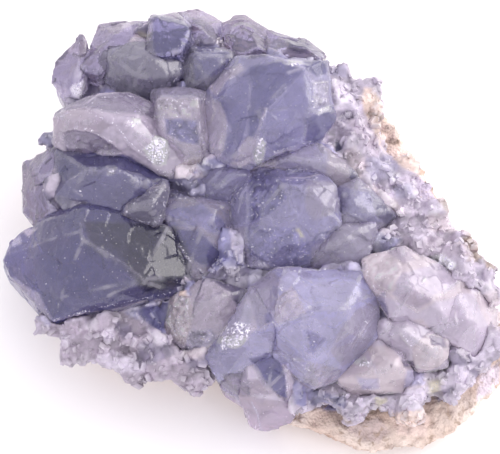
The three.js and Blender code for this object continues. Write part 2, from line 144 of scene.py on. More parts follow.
def rough_noise(points: np.ndarray, pitch: float, seed: int, octaves: int = 4) -> np.ndarray:
    """Fractal noise from about -1 to 1: each finer octave has half the pitch and half the height.

    Args:
        points: Places in metres, shape (n, 3).
        pitch: Spacing of the broadest octave in metres.
        seed: Picks another pattern.
        octaves: How many layers are added.

    Returns:
        One height for each point.
    """
    total = np.zeros(len(points))
    for octave in range(octaves):
        total += swell_noise(points, pitch / 2**octave, seed + octave) / 2**octave
    return total / FRACTAL_SPREAD


@dataclass(frozen=True)
class Cells:
    """What cell noise tells of each point: the way from its nearest seed, and that seed's dice."""

    offset: np.ndarray
    dice: np.ndarray


def cell_noise(points: np.ndarray, pitch: float, seed: int) -> Cells:
    """Cell noise: space is divided among scattered seeds, one in each cube of a lattice.

    Args:
        points: Places in metres, shape (n, 3).
        pitch: Size of the cubes in metres.
        seed: Picks another scatter.

    Returns:
        The offset from the nearest seed in metres, and that seed's three dice.
    """
    scaled = points / pitch
    home = np.floor(scaled)
    nearest = np.full(len(points), np.inf)
    offset = np.zeros_like(points)
    dice = np.zeros_like(points)
    for step in np.ndindex(3, 3, 3):
        cell = home + (np.array(step) - 1)
        away = scaled - (cell + hashed(cell, seed))
        distance = np.linalg.norm(away, axis=1)
        closer = distance < nearest
        nearest = np.where(closer, distance, nearest)
        offset[closer] = away[closer]
        dice[closer] = hashed(cell, seed + 101)[closer]
    return Cells(offset * pitch, dice)


def block_relief(points: np.ndarray, pitch: float, seed: int, steepness: float) -> np.ndarray:
    """Relief of small crystals grown side by side: in each cell a flat face, tilted at random.

    The height is steepness * (offset from the cell's seed) . (random direction of the cell), plus a
    random level for each cell.

    Args:
        points: Places in metres, shape (n, 3).
        pitch: Width of the small crystals in metres.
        seed: Picks another scatter.
        steepness: Slope of the tilted faces.

    Returns:
        Heights in metres, centred on nought.
    """
    cells = cell_noise(points, pitch, seed)
    tilt = 2 * cells.dice - 1
    slope = steepness * np.einsum("ij,ij->i", cells.offset, tilt)
    level = 0.5 * steepness * pitch * (cells.dice[:, 0] - 0.5)
    return slope + level


# Meshes


def coords_of(mesh: bpy.types.Mesh) -> np.ndarray:
    """Vertex places of a mesh, shape (n, 3)."""
    flat = np.empty(len(mesh.vertices) * 3)
    mesh.vertices.foreach_get("co", flat)
    return flat.reshape(-1, 3)


def normals_of(mesh: bpy.types.Mesh) -> np.ndarray:
    """Vertex normals of a mesh, shape (n, 3)."""
    flat = np.empty(len(mesh.vertices) * 3)
    mesh.vertices.foreach_get("normal", flat)
    return flat.reshape(-1, 3)


def set_coords(mesh: bpy.types.Mesh, coords: np.ndarray) -> None:
    """Moves every vertex of a mesh to its new place."""
    mesh.vertices.foreach_set("co", coords.ravel())
    mesh.update()


def set_attribute(mesh: bpy.types.Mesh, name: str, values: np.ndarray) -> None:
    """Stores one number for each vertex, for a material to read."""
    attribute = mesh.attributes.new(name, "FLOAT", "POINT")
    attribute.data.foreach_set("value", values.astype(np.float32))


def set_colours(mesh: bpy.types.Mesh, tints: np.ndarray) -> None:
    """Stores one linear colour for each vertex, for a material to read as "tint"."""
    attribute = mesh.attributes.new("tint", "FLOAT_COLOR", "POINT")
    full = np.concatenate([np.clip(tints, 0, 1), np.ones((len(tints), 1))], axis=1)
    attribute.data.foreach_set("color", full.astype(np.float32).ravel())


def object_of(name: str, mesh: bpy.types.Mesh) -> bpy.types.Object:
    """Puts a mesh into the scene as an object at the origin."""
    piece = bpy.data.objects.new(name, mesh)
    bpy.context.scene.collection.objects.link(piece)
    return piece


def merged_copy(node: str, name: str) -> bpy.types.Object:
    """Copies a solid and joins its loose triangles.

    Args:
        node: Name of the solid's node.
        name: Name of the copy.

    Returns:
        A new object, whose faces meet along shared edges.
    """
    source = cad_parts[node]
    mesh = source.data.copy()
    mesh.materials.clear()
    mesh.transform(source.matrix_world)
    work = bmesh.new()
    work.from_mesh(mesh)
    bmesh.ops.remove_doubles(work, verts=work.verts, dist=WELD_DISTANCE)
    work.to_mesh(mesh)
    work.free()
    return object_of(name, mesh)


def sharp_edges(mesh: bpy.types.Mesh, least_turn: float) -> tuple[np.ndarray, np.ndarray]:
    """Finds the edges where two faces meet at an angle and stand proud.

    Args:
        mesh: A closed mesh.
        least_turn: Smallest angle between the faces' normals, in radians.

    Returns:
        The two ends of each such edge, two arrays of shape (m, 3).
    """
    work = bmesh.new()
    work.from_mesh(mesh)
    found = [
        (tuple(edge.verts[0].co), tuple(edge.verts[1].co))
        for edge in work.edges
        if edge.is_manifold and edge.calc_face_angle_signed(0) > least_turn
    ]
    work.free()
    ends = np.array(found).reshape(-1, 2, 3)
    return ends[:, 0], ends[:, 1]


def distance_to_lines(points: np.ndarray, starts: np.ndarray, ends: np.ndarray) -> np.ndarray:
    """Shortest distance from each point to any of some straight lines, in space or on the face.

    Args:
        points: Places, shape (n, 2) or (n, 3).
        starts: One end of each line, shape (m, 2) or (m, 3).
        ends: The other end of each line.

    Returns:
        One distance for each point.
    """
    best = np.full(len(points), np.inf)
    for start, end in zip(starts, ends):
        run = end - start
        along = np.clip((points - start) @ run / max(run @ run, 1e-12), 0, 1)
        best = np.minimum(best, np.linalg.norm(points - start - along[:, None] * run, axis=1))
    return best


def resample(piece: bpy.types.Object, step: float) -> None:
    """Covers a closed piece anew with small even faces.

    Args:
        piece: The object, whose mesh is replaced.
        step: Size of the faces in metres.
    """
    modifier = piece.modifiers.new("resample", "REMESH")
    modifier.mode = "VOXEL"
    modifier.voxel_size = step
    graph = bpy.context.evaluated_depsgraph_get()
    mesh = bpy.data.meshes.new_from_object(piece.evaluated_get(graph))
    piece.modifiers.clear()
    piece.data = mesh


def trees_of(pieces: list[bpy.types.Object]) -> list[BVHTree]:
    """A search tree for each of several objects at the origin."""
    graph = bpy.context.evaluated_depsgraph_get()
    return [BVHTree.FromObject(piece, graph) for piece in pieces]


def first_hit(trees: list[BVHTree], start: Vector, way: Vector) -> tuple[Vector, Vector] | None:
    """Where a ray first meets any of several surfaces.

    Args:
        trees: Search trees of the surfaces.
        start: Where the ray begins.
        way: Its direction.

    Returns:
        The point and the normal there, or None where it meets nothing.
    """
    hits = [hit for hit in (tree.ray_cast(start, way) for tree in trees) if hit[0] is not None]
    if not hits:
        return None
    nearest = min(hits, key=lambda hit: hit[3])
    return nearest[0], nearest[1]


def settle(piece: bpy.types.Object, node: str | None = None) -> None:
    """Ties a finished piece to the body and the solid that it stands for."""
    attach(piece, "root")
    if node:
        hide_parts(node)
    log.info("%s: %d faces", piece.name, len(piece.data.polygons))


# Material building


def hex_colour(code: str) -> tuple[float, float, float, float]:
    """Turns an sRGB hex colour into the linear colour that a shader takes.

    Args:
        code: Six hex digits after a hash.

    Returns:
        Linear red, green and blue, and full opacity.
    """
    channels = [int(code[k : k + 2], 16) / 255 for k in (1, 3, 5)]
    linear = [c / 12.92 if c <= 0.04045 else ((c + 0.055) / 1.055) ** 2.4 for c in channels]
    return (linear[0], linear[1], linear[2], 1.0)


def add(
    tree: bpy.types.NodeTree,
    kind: str,
    sockets: dict[str | int, object] | None = None,
    **settings: object,
) -> bpy.types.Node:
    """Adds a node, with its settings, and its sockets' values or links.

    Args:
        tree: The material's node tree.
        kind: The node's type name.
        sockets: For each input, by name or place, a value or the output that feeds it.
        settings: The node's own properties.

    Returns:
        The new node.
    """
    node = tree.nodes.new(kind)
    for name, value in settings.items():
        setattr(node, name, value)
    for name, value in (sockets or {}).items():
        if isinstance(value, bpy.types.NodeSocket):
            tree.links.new(value, node.inputs[name])
        else:
            node.inputs[name].default_value = value
    return node


@dataclass
class Recipe:
    """A material in the making, with short names for the steps that come up again and again."""

    name: str
    material: bpy.types.Material = field(init=False)
    tree: bpy.types.NodeTree = field(init=False)
    place: bpy.types.NodeSocket = field(init=False)

    def __post_init__(self) -> None:
        """Starts from an empty node tree and the place on the object, in metres."""
        self.material = bpy.data.materials.new(self.name)
        self.material.use_nodes = True
        self.tree = self.material.node_tree
        self.tree.nodes.clear()
        self.place = add(self.tree, "ShaderNodeTexCoord").outputs["Object"]

    def stored(self, name: str, output: str) -> bpy.types.NodeSocket:
        """What the mesh stores for each vertex under a name."""
        return add(self.tree, "ShaderNodeAttribute", attribute_name=name).outputs[output]

    def noise(self, size: float, detail: float, roughness: float = 0.5,
              distortion: float = 0.0) -> bpy.types.NodeSocket:
        """Noise with features of a real size in metres."""
        return add(self.tree, "ShaderNodeTexNoise", {
            "Vector": self.place, "Scale": 1 / size, "Detail": detail,
            "Roughness": roughness, "Distortion": distortion}).outputs["Fac"]

    def cells(self, size: float) -> bpy.types.Node:
        """Cells of a real size in metres."""
        return add(self.tree, "ShaderNodeTexVoronoi", {"Vector": self.place, "Scale": 1 / size})

    def remap(self, value: bpy.types.NodeSocket, source: tuple[float, float],
              target: tuple[float, float]) -> bpy.types.NodeSocket:
        """Stretches one range of values onto another, and stops at its ends."""
        return add(self.tree, "ShaderNodeMapRange", {
            "Value": value, "From Min": source[0], "From Max": source[1],
            "To Min": target[0], "To Max": target[1]}).outputs["Result"]

    def reckon(self, operation: str, *values: object, clamp: bool = False) -> bpy.types.NodeSocket:
        """Works out a sum, product or comparison of values."""
        return add(self.tree, "ShaderNodeMath", dict(enumerate(values)),
                   operation=operation, use_clamp=clamp).outputs[0]

    def lightened(self, colour: bpy.types.NodeSocket, gain: bpy.types.NodeSocket) -> bpy.types.NodeSocket:
        """A colour made lighter or darker by a factor."""
        return add(self.tree, "ShaderNodeHueSaturation", {
            "Color": colour, "Value": gain}).outputs["Color"]

    def blend(self, share: bpy.types.NodeSocket, below: object, above: object) -> bpy.types.NodeSocket:
        """One colour laid over another where the share is high."""
        return add(self.tree, "ShaderNodeMix", {0: share, 6: below, 7: above},
                   data_type="RGBA").outputs[2]

    def bump(self, height: bpy.types.NodeSocket, strength: float, depth: float) -> bpy.types.NodeSocket:
        """Normals of a fine relief, of a depth in metres."""
        return add(self.tree, "ShaderNodeBump", {
            "Height": height, "Strength": strength, "Distance": depth}).outputs["Normal"]

    def finish(self, surface: dict[str, object], volume: bpy.types.NodeSocket | None = None,
               ) -> bpy.types.Material:
        """Puts the shader on: a principled surface, and what fills the body, if anything."""
        shader = add(self.tree, "ShaderNodeBsdfPrincipled", surface)
        ends = {"Surface": shader.outputs[0]}
        if volume:
            ends["Volume"] = volume
        add(self.tree, "ShaderNodeOutputMaterial", ends)
        return self.material


# Colours and the traced face


class Tint(Enum):
    """Colours of the specimen as the eye meets them, from painted shade in hollows to frosted breaks and
    painted glints.
    """

    INK = "#403D58"
    SLATE = "#55526F"
    DUSK = "#6C6898"
    DEEP = "#7A76A4"
    PLUM = "#7C7490"
    SMOKE = "#8D88A8"
    VIOLET = "#8E89B5"
    MAUVE = "#998FA6"
    HAZE = "#9E99B0"
    IRIS = "#A09BC5"
    HEATHER = "#B1ABD0"
    ASH = "#B9B1CA"
    ROSE = "#C0B2C4"
    BLUEBELL = "#C8C3F0"
    LILAC = "#C9C1E0"
    VEIL = "#CFC3D6"
    GLEAM = "#D3CDE4"
    PEARL = "#DACFE1"
    BLUSH = "#E0D2DB"
    # White of frosted breaks, and of painted glints and highlights
    FROST_AND_GLINT = "#F4F0F8"
    BROWN = "#A9958D"
    BEIGE = "#B3A9A6"
    TAN = "#C6B3AE"
    LEMON = "#E6DECB"
    PEACH = "#E9D2C8"

    def linear(self) -> np.ndarray:
        """Its linear red, green and blue."""
        return np.array(hex_colour(self.value)[:3])


def traced(pairs: str) -> np.ndarray:
    """Points on the face out of text such as "50,55 88,20": across and down for each point."""
    return np.array([pair.split(",") for pair in pairs.split()], float)


@dataclass(frozen=True)
class Patch:
    """A growth face, break, hollow or clouded zone traced on the crystal face, or painted light and shade
    laid on it: a glint, a lit face, a shadowed band or a darkened hollow.

    Attributes:
        name: What it is.
        tint: Its colour.
        outline: Its corners, in quarter millimetres across and down the face.
        lift: How far it stands proud, in millimetres; a hollow is less than nought.
        grain: How broken and sparkling it is, from 0 for smooth.
        soft: Half the width over which its colour fades out, in quarter millimetres.
    """

    name: str
    tint: Tint
    outline: str
    lift: float = 0.0
    grain: float = 0.0
    soft: float = 1.3


@dataclass(frozen=True)
class Streak:
    """A crack, worn edge or crevice traced as a line, or a painted shadow line or painted glint row.

    Attributes:
        name: What it is.
        tint: Its colour.
        route: Its points, in quarter millimetres across and down the face.
        width: Half its width, in quarter millimetres.
        lift: How far it stands proud, in millimetres.
    """

    name: str
    tint: Tint
    route: str
    width: float = 0.8
    lift: float = 0.1


PATCHES = (
    # Upper left
    Patch("rim, ground tone", Tint.PLUM, "50,55 88,20 150,5 152,50 104,76 90,100 52,118"),
    Patch("rim, stub", Tint.PLUM, "54,61 70,61 69,78 55,80", 0.4),
    Patch("rim, spire", Tint.MAUVE, "69,52 80,33 87,43 86,54 77,58", 0.3),
    Patch("rim, rosy crust", Tint.PLUM, "88,44 102,21 132,19 132,29 112,41 97,54", grain=0.6),
    Patch("rim, white sparkle", Tint.FROST_AND_GLINT, "73,89 80,81 85,86 83,94 77,96", grain=1.0),
    Patch("rim, lower crust", Tint.MAUVE, "51,83 73,92 70,104 60,111 52,104", grain=0.4),
    Patch("rim, small flat", Tint.ASH, "122,25 131,24 130,33 122,30", 0.2),
    Patch("beige flat", Tint.BEIGE, "128,43 139,31 150,34 150,42", -0.3),
    Patch("pane under the beige flat", Tint.HAZE, "104,54 115,46 148,45 145,67 139,75 112,76", 0.2),
    Patch("grey block", Tint.DUSK, "151,14 169,18 191,26 191,46 177,62 154,54", 0.3),
    Patch("grey block, top edge", Tint.HAZE, "148,12 177,9 192,20 190,26 169,18 151,14"),
    Patch("slate bank", Tint.HAZE, "104,78 143,75 154,54 177,64 172,83 150,99 128,94 108,86"),
    Patch("slate bank, right pane", Tint.SMOKE, "179,62 188,63 185,75 174,89 169,86", 0.2),
    Patch("greenish glint", Tint.LEMON, "184,52 191,52 190,57 184,56", grain=0.8),
    Patch("upper middle, dark face", Tint.VIOLET, "195,49 228,54 230,61 212,73 197,82"),
    Patch("upper middle, lower face", Tint.HAZE, "197,82 212,74 209,92 198,93"),
    # Painted light and shade: the back lump's lit top is painted pale, its shaded side darker.
    Patch("back lump, pale", Tint.MAUVE, "180,6 205,6 222,22 214,30 194,20"),
    Patch("back lump, shaded", Tint.PLUM, "192,22 214,30 222,40 214,46 194,44", grain=0.3),
    Patch("back crust", Tint.PLUM, "222,24 245,12 262,28 272,44 250,58 228,50", grain=0.6),
    Patch("back crust, hollow", Tint.MAUVE, "216,40 230,38 234,50 222,50", -0.4),
    Patch("back window", Tint.SLATE, "287,38 307,38 312,48 300,54 288,49", 0.2, grain=0.5),
    Patch("back lumps, glassy", Tint.HAZE, "276,42 288,50 309,56 322,52 326,62 290,60 278,54"),
    Patch("back slit", Tint.SMOKE, "269,45 276,46 275,56 269,54", -0.3),
    Patch("back ribs", Tint.PLUM, "250,38 268,42 268,60 250,62", grain=0.5),

    # Frosted crystal over a hollow
    Patch("frosted, upper band", Tint.MAUVE,
          "56,118 72,107 99,96 132,96 151,108 156,121 136,116 112,115 88,110"),
    Patch("frosted, brow", Tint.ROSE, "56,118 86,110 115,123 102,131 77,128 65,132 56,144", 0.3),
    Patch("frosted, hollow", Tint.MAUVE,
          "65,133 77,129 89,130 99,135 112,143 121,151 102,152 83,156 68,150", -0.9, grain=0.7),
    Patch("frosted, rosy side", Tint.VEIL,
          "113,122 143,117 156,128 154,143 151,159 137,158 121,148 105,131", grain=0.5),
    Patch("frosted, broken glint", Tint.FROST_AND_GLINT,
          "143,148 153,138 166,141 168,152 164,165 152,163", 0.3, grain=1.2),
    Patch("frosted, small glint", Tint.FROST_AND_GLINT, "131,121 138,121 138,127 132,127", grain=0.8),
    Patch("rosy pebble", Tint.BLUSH, "175,168 190,155 199,156 198,168 184,179 175,178", 0.4),
    Patch("white corner", Tint.FROST_AND_GLINT, "201,165 206,157 210,165", 0.3),
    Patch("lilac ledge", Tint.ROSE, "184,181 200,170 204,178 192,183", 0.2),

    # Square crystal
    Patch("square, frame", Tint.ASH, "152,91 190,90 209,96 222,104 205,106 160,98 154,120"),
    Patch("square, bright window", Tint.PEARL, "161,99 196,99 195,117 160,118", 0.2, grain=1.0),
    Patch("square, speckled pane", Tint.IRIS, "165,120 196,120 197,143 181,141 167,132", -0.2, grain=1.0),
    # Painted fill light: the square crystal's shaded right side is painted lighter.
    Patch("square, right band", Tint.PEARL, "199,102 223,102 228,112 230,128 226,156 207,159 201,136"),
    Patch("square, bright foot", Tint.PEARL, "214,150 222,134 229,138 224,152", 0.2, grain=0.5),

    # Largest crystal, upper right
    Patch("largest, far left rim", Tint.PEARL, "212,92 220,78 242,67 246,72 228,84 219,98"),
    Patch("largest, blue band", Tint.VIOLET, "220,98 250,72 252,115 246,139 238,155 224,156 234,128"),
    Patch("largest, left of the ridge", Tint.DEEP, "250,70 282,64 303,71 264,110 260,128 251,143"),
    Patch("largest, right of the ridge", Tint.IRIS, "303,73 308,89 310,104 303,115 288,108 267,111", 0.35),
    Patch("largest, streaked pane", Tint.ASH,
          "308,80 327,81 329,96 326,107 312,108 310,92", 0.2, grain=0.8),
    Patch("largest, top corner", Tint.DUSK, "303,61 325,62 327,74 317,76 305,70"),
    Patch("largest, right lower", Tint.DEEP, "303,116 331,106 333,121 320,137 311,141 303,137", 0.3),
    Patch("largest, lower pane", Tint.IRIS, "264,113 288,110 303,118 301,140 274,151 263,143"),
    # Painted fill light: these two are painted lighter against the shade of the crease under the largest
    # crystal.
    Patch("largest, bottom", Tint.LILAC, "290,149 314,142 325,155 327,172 298,169 276,164", -0.2),
    Patch("light wedge, left", Tint.PEARL, "230,163 246,142 252,137 258,138 255,160 245,164", 0.4),
    Patch("light wedge, streak", Tint.FROST_AND_GLINT, "255,150 260,137 264,140 261,160 256,163", 0.2),
    Patch("top glint", Tint.FROST_AND_GLINT, "287,63 302,62 302,66 288,67"),
    Patch("slanted glint", Tint.GLEAM, "288,75 300,69 300,71 290,77"),
    Patch("corner glint", Tint.FROST_AND_GLINT, "314,111 327,106 326,110 315,113"),

    # Right side above the centre
    Patch("shoulder, rosy", Tint.VEIL, "327,156 339,159 349,177 330,178"),
    Patch("shoulder, dark sliver", Tint.SMOKE, "347,169 357,174 356,181 349,178", -0.3),
    Patch("strips over the centre", Tint.IRIS, "282,169 314,175 319,178 298,188 272,186", -0.3, grain=0.5),
    Patch("strip, light", Tint.IRIS, "284,171 303,170 305,173 288,176", 0.4),
    Patch("grey pane", Tint.ASH, "307,183 333,185 338,210 314,221 305,207"),
    Patch("right pane", Tint.HEATHER, "338,188 368,195 393,217 371,221 340,212", 0.2),
    Patch("right pane, slate side", Tint.SMOKE, "368,195 396,217 385,223 374,215"),
    Patch("deep blue nook", Tint.VIOLET,
          "250,176 274,170 281,188 289,199 279,207 260,221 250,223", -0.3, grain=0.9),
    Patch("lilac blocks", Tint.HEATHER, "288,198 306,190 301,214 290,222", 0.3, grain=0.4),

    # Crust on the upper right
    Patch("crust, grey top", Tint.ASH, "327,63 346,67 347,77 336,76 328,76"),
    Patch("crust, pale lump", Tint.PEARL, "330,78 354,85 360,96 352,110 339,105 333,96", 0.5),
    Patch("crust, dark lump", Tint.MAUVE, "336,110 352,111 354,118 346,124 338,120", -0.5),
    Patch("crust, dark lump 2", Tint.ROSE, "361,118 370,117 369,126 360,123", -0.3),
    Patch("crust, bright ring", Tint.PEARL,
          "320,137 330,128 339,126 336,138 335,149 322,143", 0.2, grain=1.0),
    # Painted shade: the hole is painted dark.
    Patch("crust, hole", Tint.SLATE, "336,139 344,142 342,153 335,151", -0.8),
    Patch("crust, rosy bank", Tint.ROSE, "346,120 362,118 374,130 384,147 378,155 358,138", 0.2),
    Patch("crust, white grains", Tint.BLUSH,
          "344,151 354,146 364,157 366,169 360,181 352,171", 0.3, grain=0.9),
    Patch("crust, grey lilac bank", Tint.ASH, "366,159 390,154 400,165 393,178 371,184 366,173", 0.2),
    Patch("crust, white chip", Tint.FROST_AND_GLINT, "391,177 400,174 398,183 392,183", 0.4),
    Patch("crust, lower bank", Tint.VEIL, "390,184 412,170 440,192 456,212 440,216 402,212"),
    Patch("crust, grey lumps", Tint.ASH, "392,186 410,184 414,198 396,198", 0.3),
    Patch("crust, bright lip", Tint.BLUSH,
          "362,189 376,195 386,211 406,213 400,205 386,194 374,184", 0.4, grain=0.5),
    Patch("crust, rosy flat", Tint.BLUSH, "427,215 456,212 466,227 452,234 428,230", 0.3),

    # Stained rim where the rock comes through
    Patch("peach rim", Tint.PEACH,
          "364,88 373,90 383,102 388,116 404,138 424,166 434,184 "
          "424,180 401,166 386,152 375,134 367,115 361,101", grain=0.5),
    Patch("peach rim, brown stain", Tint.BROWN, "369,112 384,114 388,122 377,124", -0.3, grain=0.3),
    Patch("peach rim, second stain", Tint.BROWN, "383,139 402,139 401,145 386,144", -0.3),
    Patch("brown rim", Tint.TAN, "433,192 441,190 458,211 470,228 480,244 468,238 446,212", grain=0.6),
    Patch("brown bank", Tint.BROWN, "446,240 473,236 488,258 473,262 455,250", -0.2, grain=0.5),
    Patch("tan corner", Tint.BROWN, "475,238 500,252 500,268 487,268", grain=0.4),

    # Left edge
    Patch("left edge, dark stone", Tint.SMOKE, "36,140 43,134 56,131 56,143 38,154", 0.2),
    Patch("left edge, pane", Tint.PLUM, "30,166 38,153 56,146 56,163 47,183 35,185", 0.4),
    Patch("left edge, pale sliver", Tint.VEIL, "45,187 56,166 60,169 58,191 60,201 53,196", 0.3),
    Patch("left edge, mauve side", Tint.PLUM, "20,162 30,158 30,172 28,188 21,176"),
    Patch("left edge, lower lobe", Tint.PLUM, "23,190 46,191 57,207 46,216 29,207", 0.3),

    # Deep crystal on the left
    Patch("deep, shadowed band", Tint.DUSK,
          "62,160 89,154 124,153 150,166 167,178 154,190 "
          "143,193 140,176 112,171 89,171 69,182 61,172", -0.3),
    Patch("deep, lit face", Tint.VIOLET,
          "89,172 112,172 140,177 159,187 142,195 128,211 89,203 59,196 69,182", 0.3),
    Patch("deep, glint", Tint.FROST_AND_GLINT, "107,170 116,170 114,173 109,173"),
    Patch("deep, frosted toe", Tint.ASH, "74,198 88,200 86,207 68,208", grain=0.8),
    Patch("lilac spike", Tint.HAZE, "126,212 142,196 166,186 164,212 160,223 143,222", 0.3),

    # Inner left
    Patch("inner nook", Tint.SMOKE, "167,180 201,178 200,198 168,200", -0.3, grain=1.0),
    Patch("inner pane", Tint.HEATHER, "204,167 244,164 250,176 236,191 231,207 202,203"),
    Patch("inner lower pane", Tint.IRIS, "167,211 202,206 223,223 228,238 200,228 172,226", grain=0.4),
    Patch("inner frosted pane", Tint.ASH,
          "230,226 250,227 252,250 250,266 237,260 231,246", 0.2, grain=0.7),
    Patch("inner dark pane", Tint.DEEP, "172,228 200,230 207,241 230,258 236,265 207,266 191,259"),

    # Dark crystal at the left tip
    Patch("dark, slate face", Tint.SLATE, "84,224 166,224 187,256 185,270 175,281 140,281 89,246", soft=2),
    Patch("dark, deepest corner", Tint.INK,
          "128,234 160,222 178,228 192,256 188,284 145,290 124,264", soft=3),
    Patch("dark, violet cloud", Tint.DUSK, "56,262 84,254 110,258 122,274 96,292 66,290", soft=9),
    Patch("dark, lower face", Tint.DUSK, "54,300 89,291 137,296 112,306 54,320", 0.2, soft=3),
    Patch("dark, blue corner", Tint.DUSK, "3,259 16,269 10,276 4,272", soft=2),
    Patch("dark, pale corner", Tint.PEARL, "20,230 38,229 29,237"),
    Patch("dark, corner glint", Tint.GLEAM, "11,241 20,237 22,243 13,247", grain=0.5),
    Patch("pale side plate", Tint.ASH, "4,274 18,280 40,294 53,318 49,328 38,319 21,299", 0.3),

    # Crust on the lower left
    Patch("foot crust, bright lip", Tint.VEIL, "53,324 112,306 136,302 132,311 112,314 66,324", 0.3),
    Patch("foot crust, rosy base", Tint.PEARL, "80,364 112,351 143,362 140,373 89,371", 0.2),
    # Painted shade in the nook.
    Patch("foot crust, dark nook", Tint.MAUVE, "115,321 128,323 136,335 124,339 116,331", -0.5),
    Patch("foot crust, light lump", Tint.PEARL, "102,331 113,326 116,339 104,345", 0.5),
    Patch("foot crust, light edge", Tint.PEARL, "59,326 70,341 62,347", 0.3),
    Patch("foot crust, mauve bank", Tint.MAUVE, "140,342 167,340 175,354 151,364 137,362", grain=0.4),
    Patch("foot crust, spar", Tint.VEIL, "138,318 148,322 169,341 159,346", 0.4),

    # Clear crystals on the lower left
    # Painted shade in the hollow.
    Patch("dark hollow", Tint.DUSK, "132,311 172,300 166,323 164,333 146,322", -0.4, grain=0.3),
    Patch("hollow, upper side", Tint.SMOKE, "132,301 172,293 170,301 134,311", grain=0.4),
    Patch("clear, splintered face", Tint.BLUSH,
          "170,297 188,294 198,310 191,323 186,346 176,340 166,329", grain=1.0),
    Patch("peach spot", Tint.PEACH, "177,291 187,290 186,296 179,296", 0.2),
    Patch("clear, smoky pane", Tint.VEIL,
          "198,297 206,281 228,296 231,313 208,319 196,316", 0.2, grain=0.4),
    Patch("clear, sparkling edge", Tint.ASH, "191,329 212,328 219,339 202,347 183,351", grain=1.3),
    Patch("bright shard", Tint.BLUSH, "180,356 188,350 214,342 210,351 195,359", 0.5),
    Patch("mauve under the shard", Tint.MAUVE, "183,359 207,359 209,366 191,370", -0.3),
    Patch("purple crystal", Tint.PLUM, "205,274 223,266 250,268 249,291 239,311 229,295 207,281"),

    # Centre crystal and the ones around it
    Patch("centre, blue side", Tint.IRIS, "250,227 295,227 311,245 309,262 282,268 250,256", grain=0.8),
    Patch("centre, smooth side", Tint.ASH, "311,244 339,230 362,227 371,243 365,259 346,267 314,264", 0.2),
    # Painted fill light: the centre crystal's steep, shaded underside is painted lighter.
    Patch("centre, lower side", Tint.LILAC,
          "250,255 282,267 314,264 346,267 366,258 360,274 284,274 252,268", soft=3),
    Patch("centre, yellow glint", Tint.LEMON, "296,230 299,229 304,237 301,238", grain=0.5),
    Patch("centre, grey toe", Tint.HAZE, "250,264 279,267 271,274 250,288", grain=0.5),
    Patch("sparkling dark bank", Tint.SMOKE, "374,232 403,239 390,252 374,257", grain=0.9),
    Patch("mauve bank", Tint.ROSE, "403,237 457,236 472,255 445,257 409,256", soft=3),
    Patch("mauve bank, pale streak", Tint.PEARL, "406,235 424,237 422,242", 0.2),

    # Lower centre crystal
    Patch("lower centre, left wing", Tint.ASH, "250,291 272,273 282,280 279,316 263,329 252,322"),
    Patch("lower centre, wing hollow", Tint.VIOLET, "266,316 272,312 276,320 268,328", -0.3),
    Patch("lower centre, top band", Tint.HEATHER, "279,270 327,268 362,273 371,288 346,281 304,281"),
    Patch("lower centre, bright face", Tint.PEARL, "282,297 291,289 306,313 276,324", 0.2, grain=0.5),
    Patch("lower centre, blue face", Tint.BLUEBELL, "296,288 352,288 355,307 306,313"),
    Patch("lower centre, lower face", Tint.BLUEBELL, "276,326 303,315 306,348 282,332", 0.3),
    Patch("lower centre, crevice", Tint.IRIS, "306,329 325,338 312,353 307,350", -0.4, grain=0.8),
    Patch("lower centre, grey side", Tint.ASH, "352,310 387,291 390,316 374,332 358,355 339,364 327,348"),
    Patch("lower centre, dark edge", Tint.SMOKE,
          "374,291 389,304 391,318 382,321 378,310", -0.2, grain=0.6),
    Patch("lower centre, tip", Tint.ASH, "309,359 339,366 336,380 323,390 306,380", grain=0.6),
    Patch("lower centre, lower edge", Tint.HEATHER, "260,332 276,329 309,359 309,371 290,354", 0.3),
    # Frosted break, with a painted highlight on it.
    Patch("white break", Tint.FROST_AND_GLINT, "219,345 226,328 238,320 251,324 249,337 238,346 224,351", 0.2),
    Patch("face above the break", Tint.PEARL, "250,296 239,313 230,329 223,338 250,335 260,330"),
    Patch("bright face over the break", Tint.GLEAM, "223,338 236,314 250,300 256,312 250,335", soft=3),
    Patch("lilac wing below", Tint.HEATHER, "207,356 215,345 250,345 239,357 226,375 212,371"),
    Patch("wing, rosy base", Tint.MAUVE, "222,376 251,366 252,396 240,396", grain=0.5),

    # Right lobe
    Patch("lobe, white face", Tint.BLUSH,
          "365,260 372,255 400,262 402,274 393,289 374,289", 0.3, grain=0.6),
    Patch("lobe, hump", Tint.ROSE, "387,253 403,250 414,262 404,266", 0.2),
    Patch("lobe, middle", Tint.VEIL, "402,275 438,265 456,283 448,291 433,297 417,304 394,294", grain=0.2),
    Patch("lobe, grey face", Tint.ROSE, "398,294 419,291 433,299 417,307 400,300", -0.2),
    Patch("lobe, white sparkle", Tint.FROST_AND_GLINT, "430,256 443,254 457,265 451,271 436,263", 0.3, grain=1.0),
    Patch("lobe, lower", Tint.PEARL, "433,302 473,294 489,329 486,355 476,361 459,345 430,326 417,310"),
    Patch("lobe, lower face", Tint.VEIL, "437,310 460,307 470,323 457,339 438,326", 0.2),
    Patch("lobe, small knob", Tint.PEARL, "460,278 482,281 481,291 472,294", 0.3),
    # Painted shade in the notch.
    Patch("lobe, dark notch", Tint.MAUVE, "475,268 483,268 484,281 478,279", -0.5, grain=0.5),
    Patch("lobe, rosy margin", Tint.BLUSH, "484,292 500,290 500,330 490,326", grain=0.3),
    Patch("lobe, under side", Tint.PEARL, "387,297 404,302 424,316 393,321"),

    # Lower right
    Patch("lilac plate", Tint.BLUSH, "368,348 390,348 403,368 429,366 425,386 381,395 379,374"),
    Patch("lilac plate, flat", Tint.LILAC, "403,370 426,369 424,384 404,388", 0.2),
    Patch("round bubble", Tint.PEARL, "376,329 382,321 392,323 390,332 379,336", 0.5),
    Patch("dark window", Tint.VEIL, "379,339 401,332 411,347 403,361 396,354 386,347", -0.4),
    # Painted fill light: painted lighter, as it faces away from the key light.
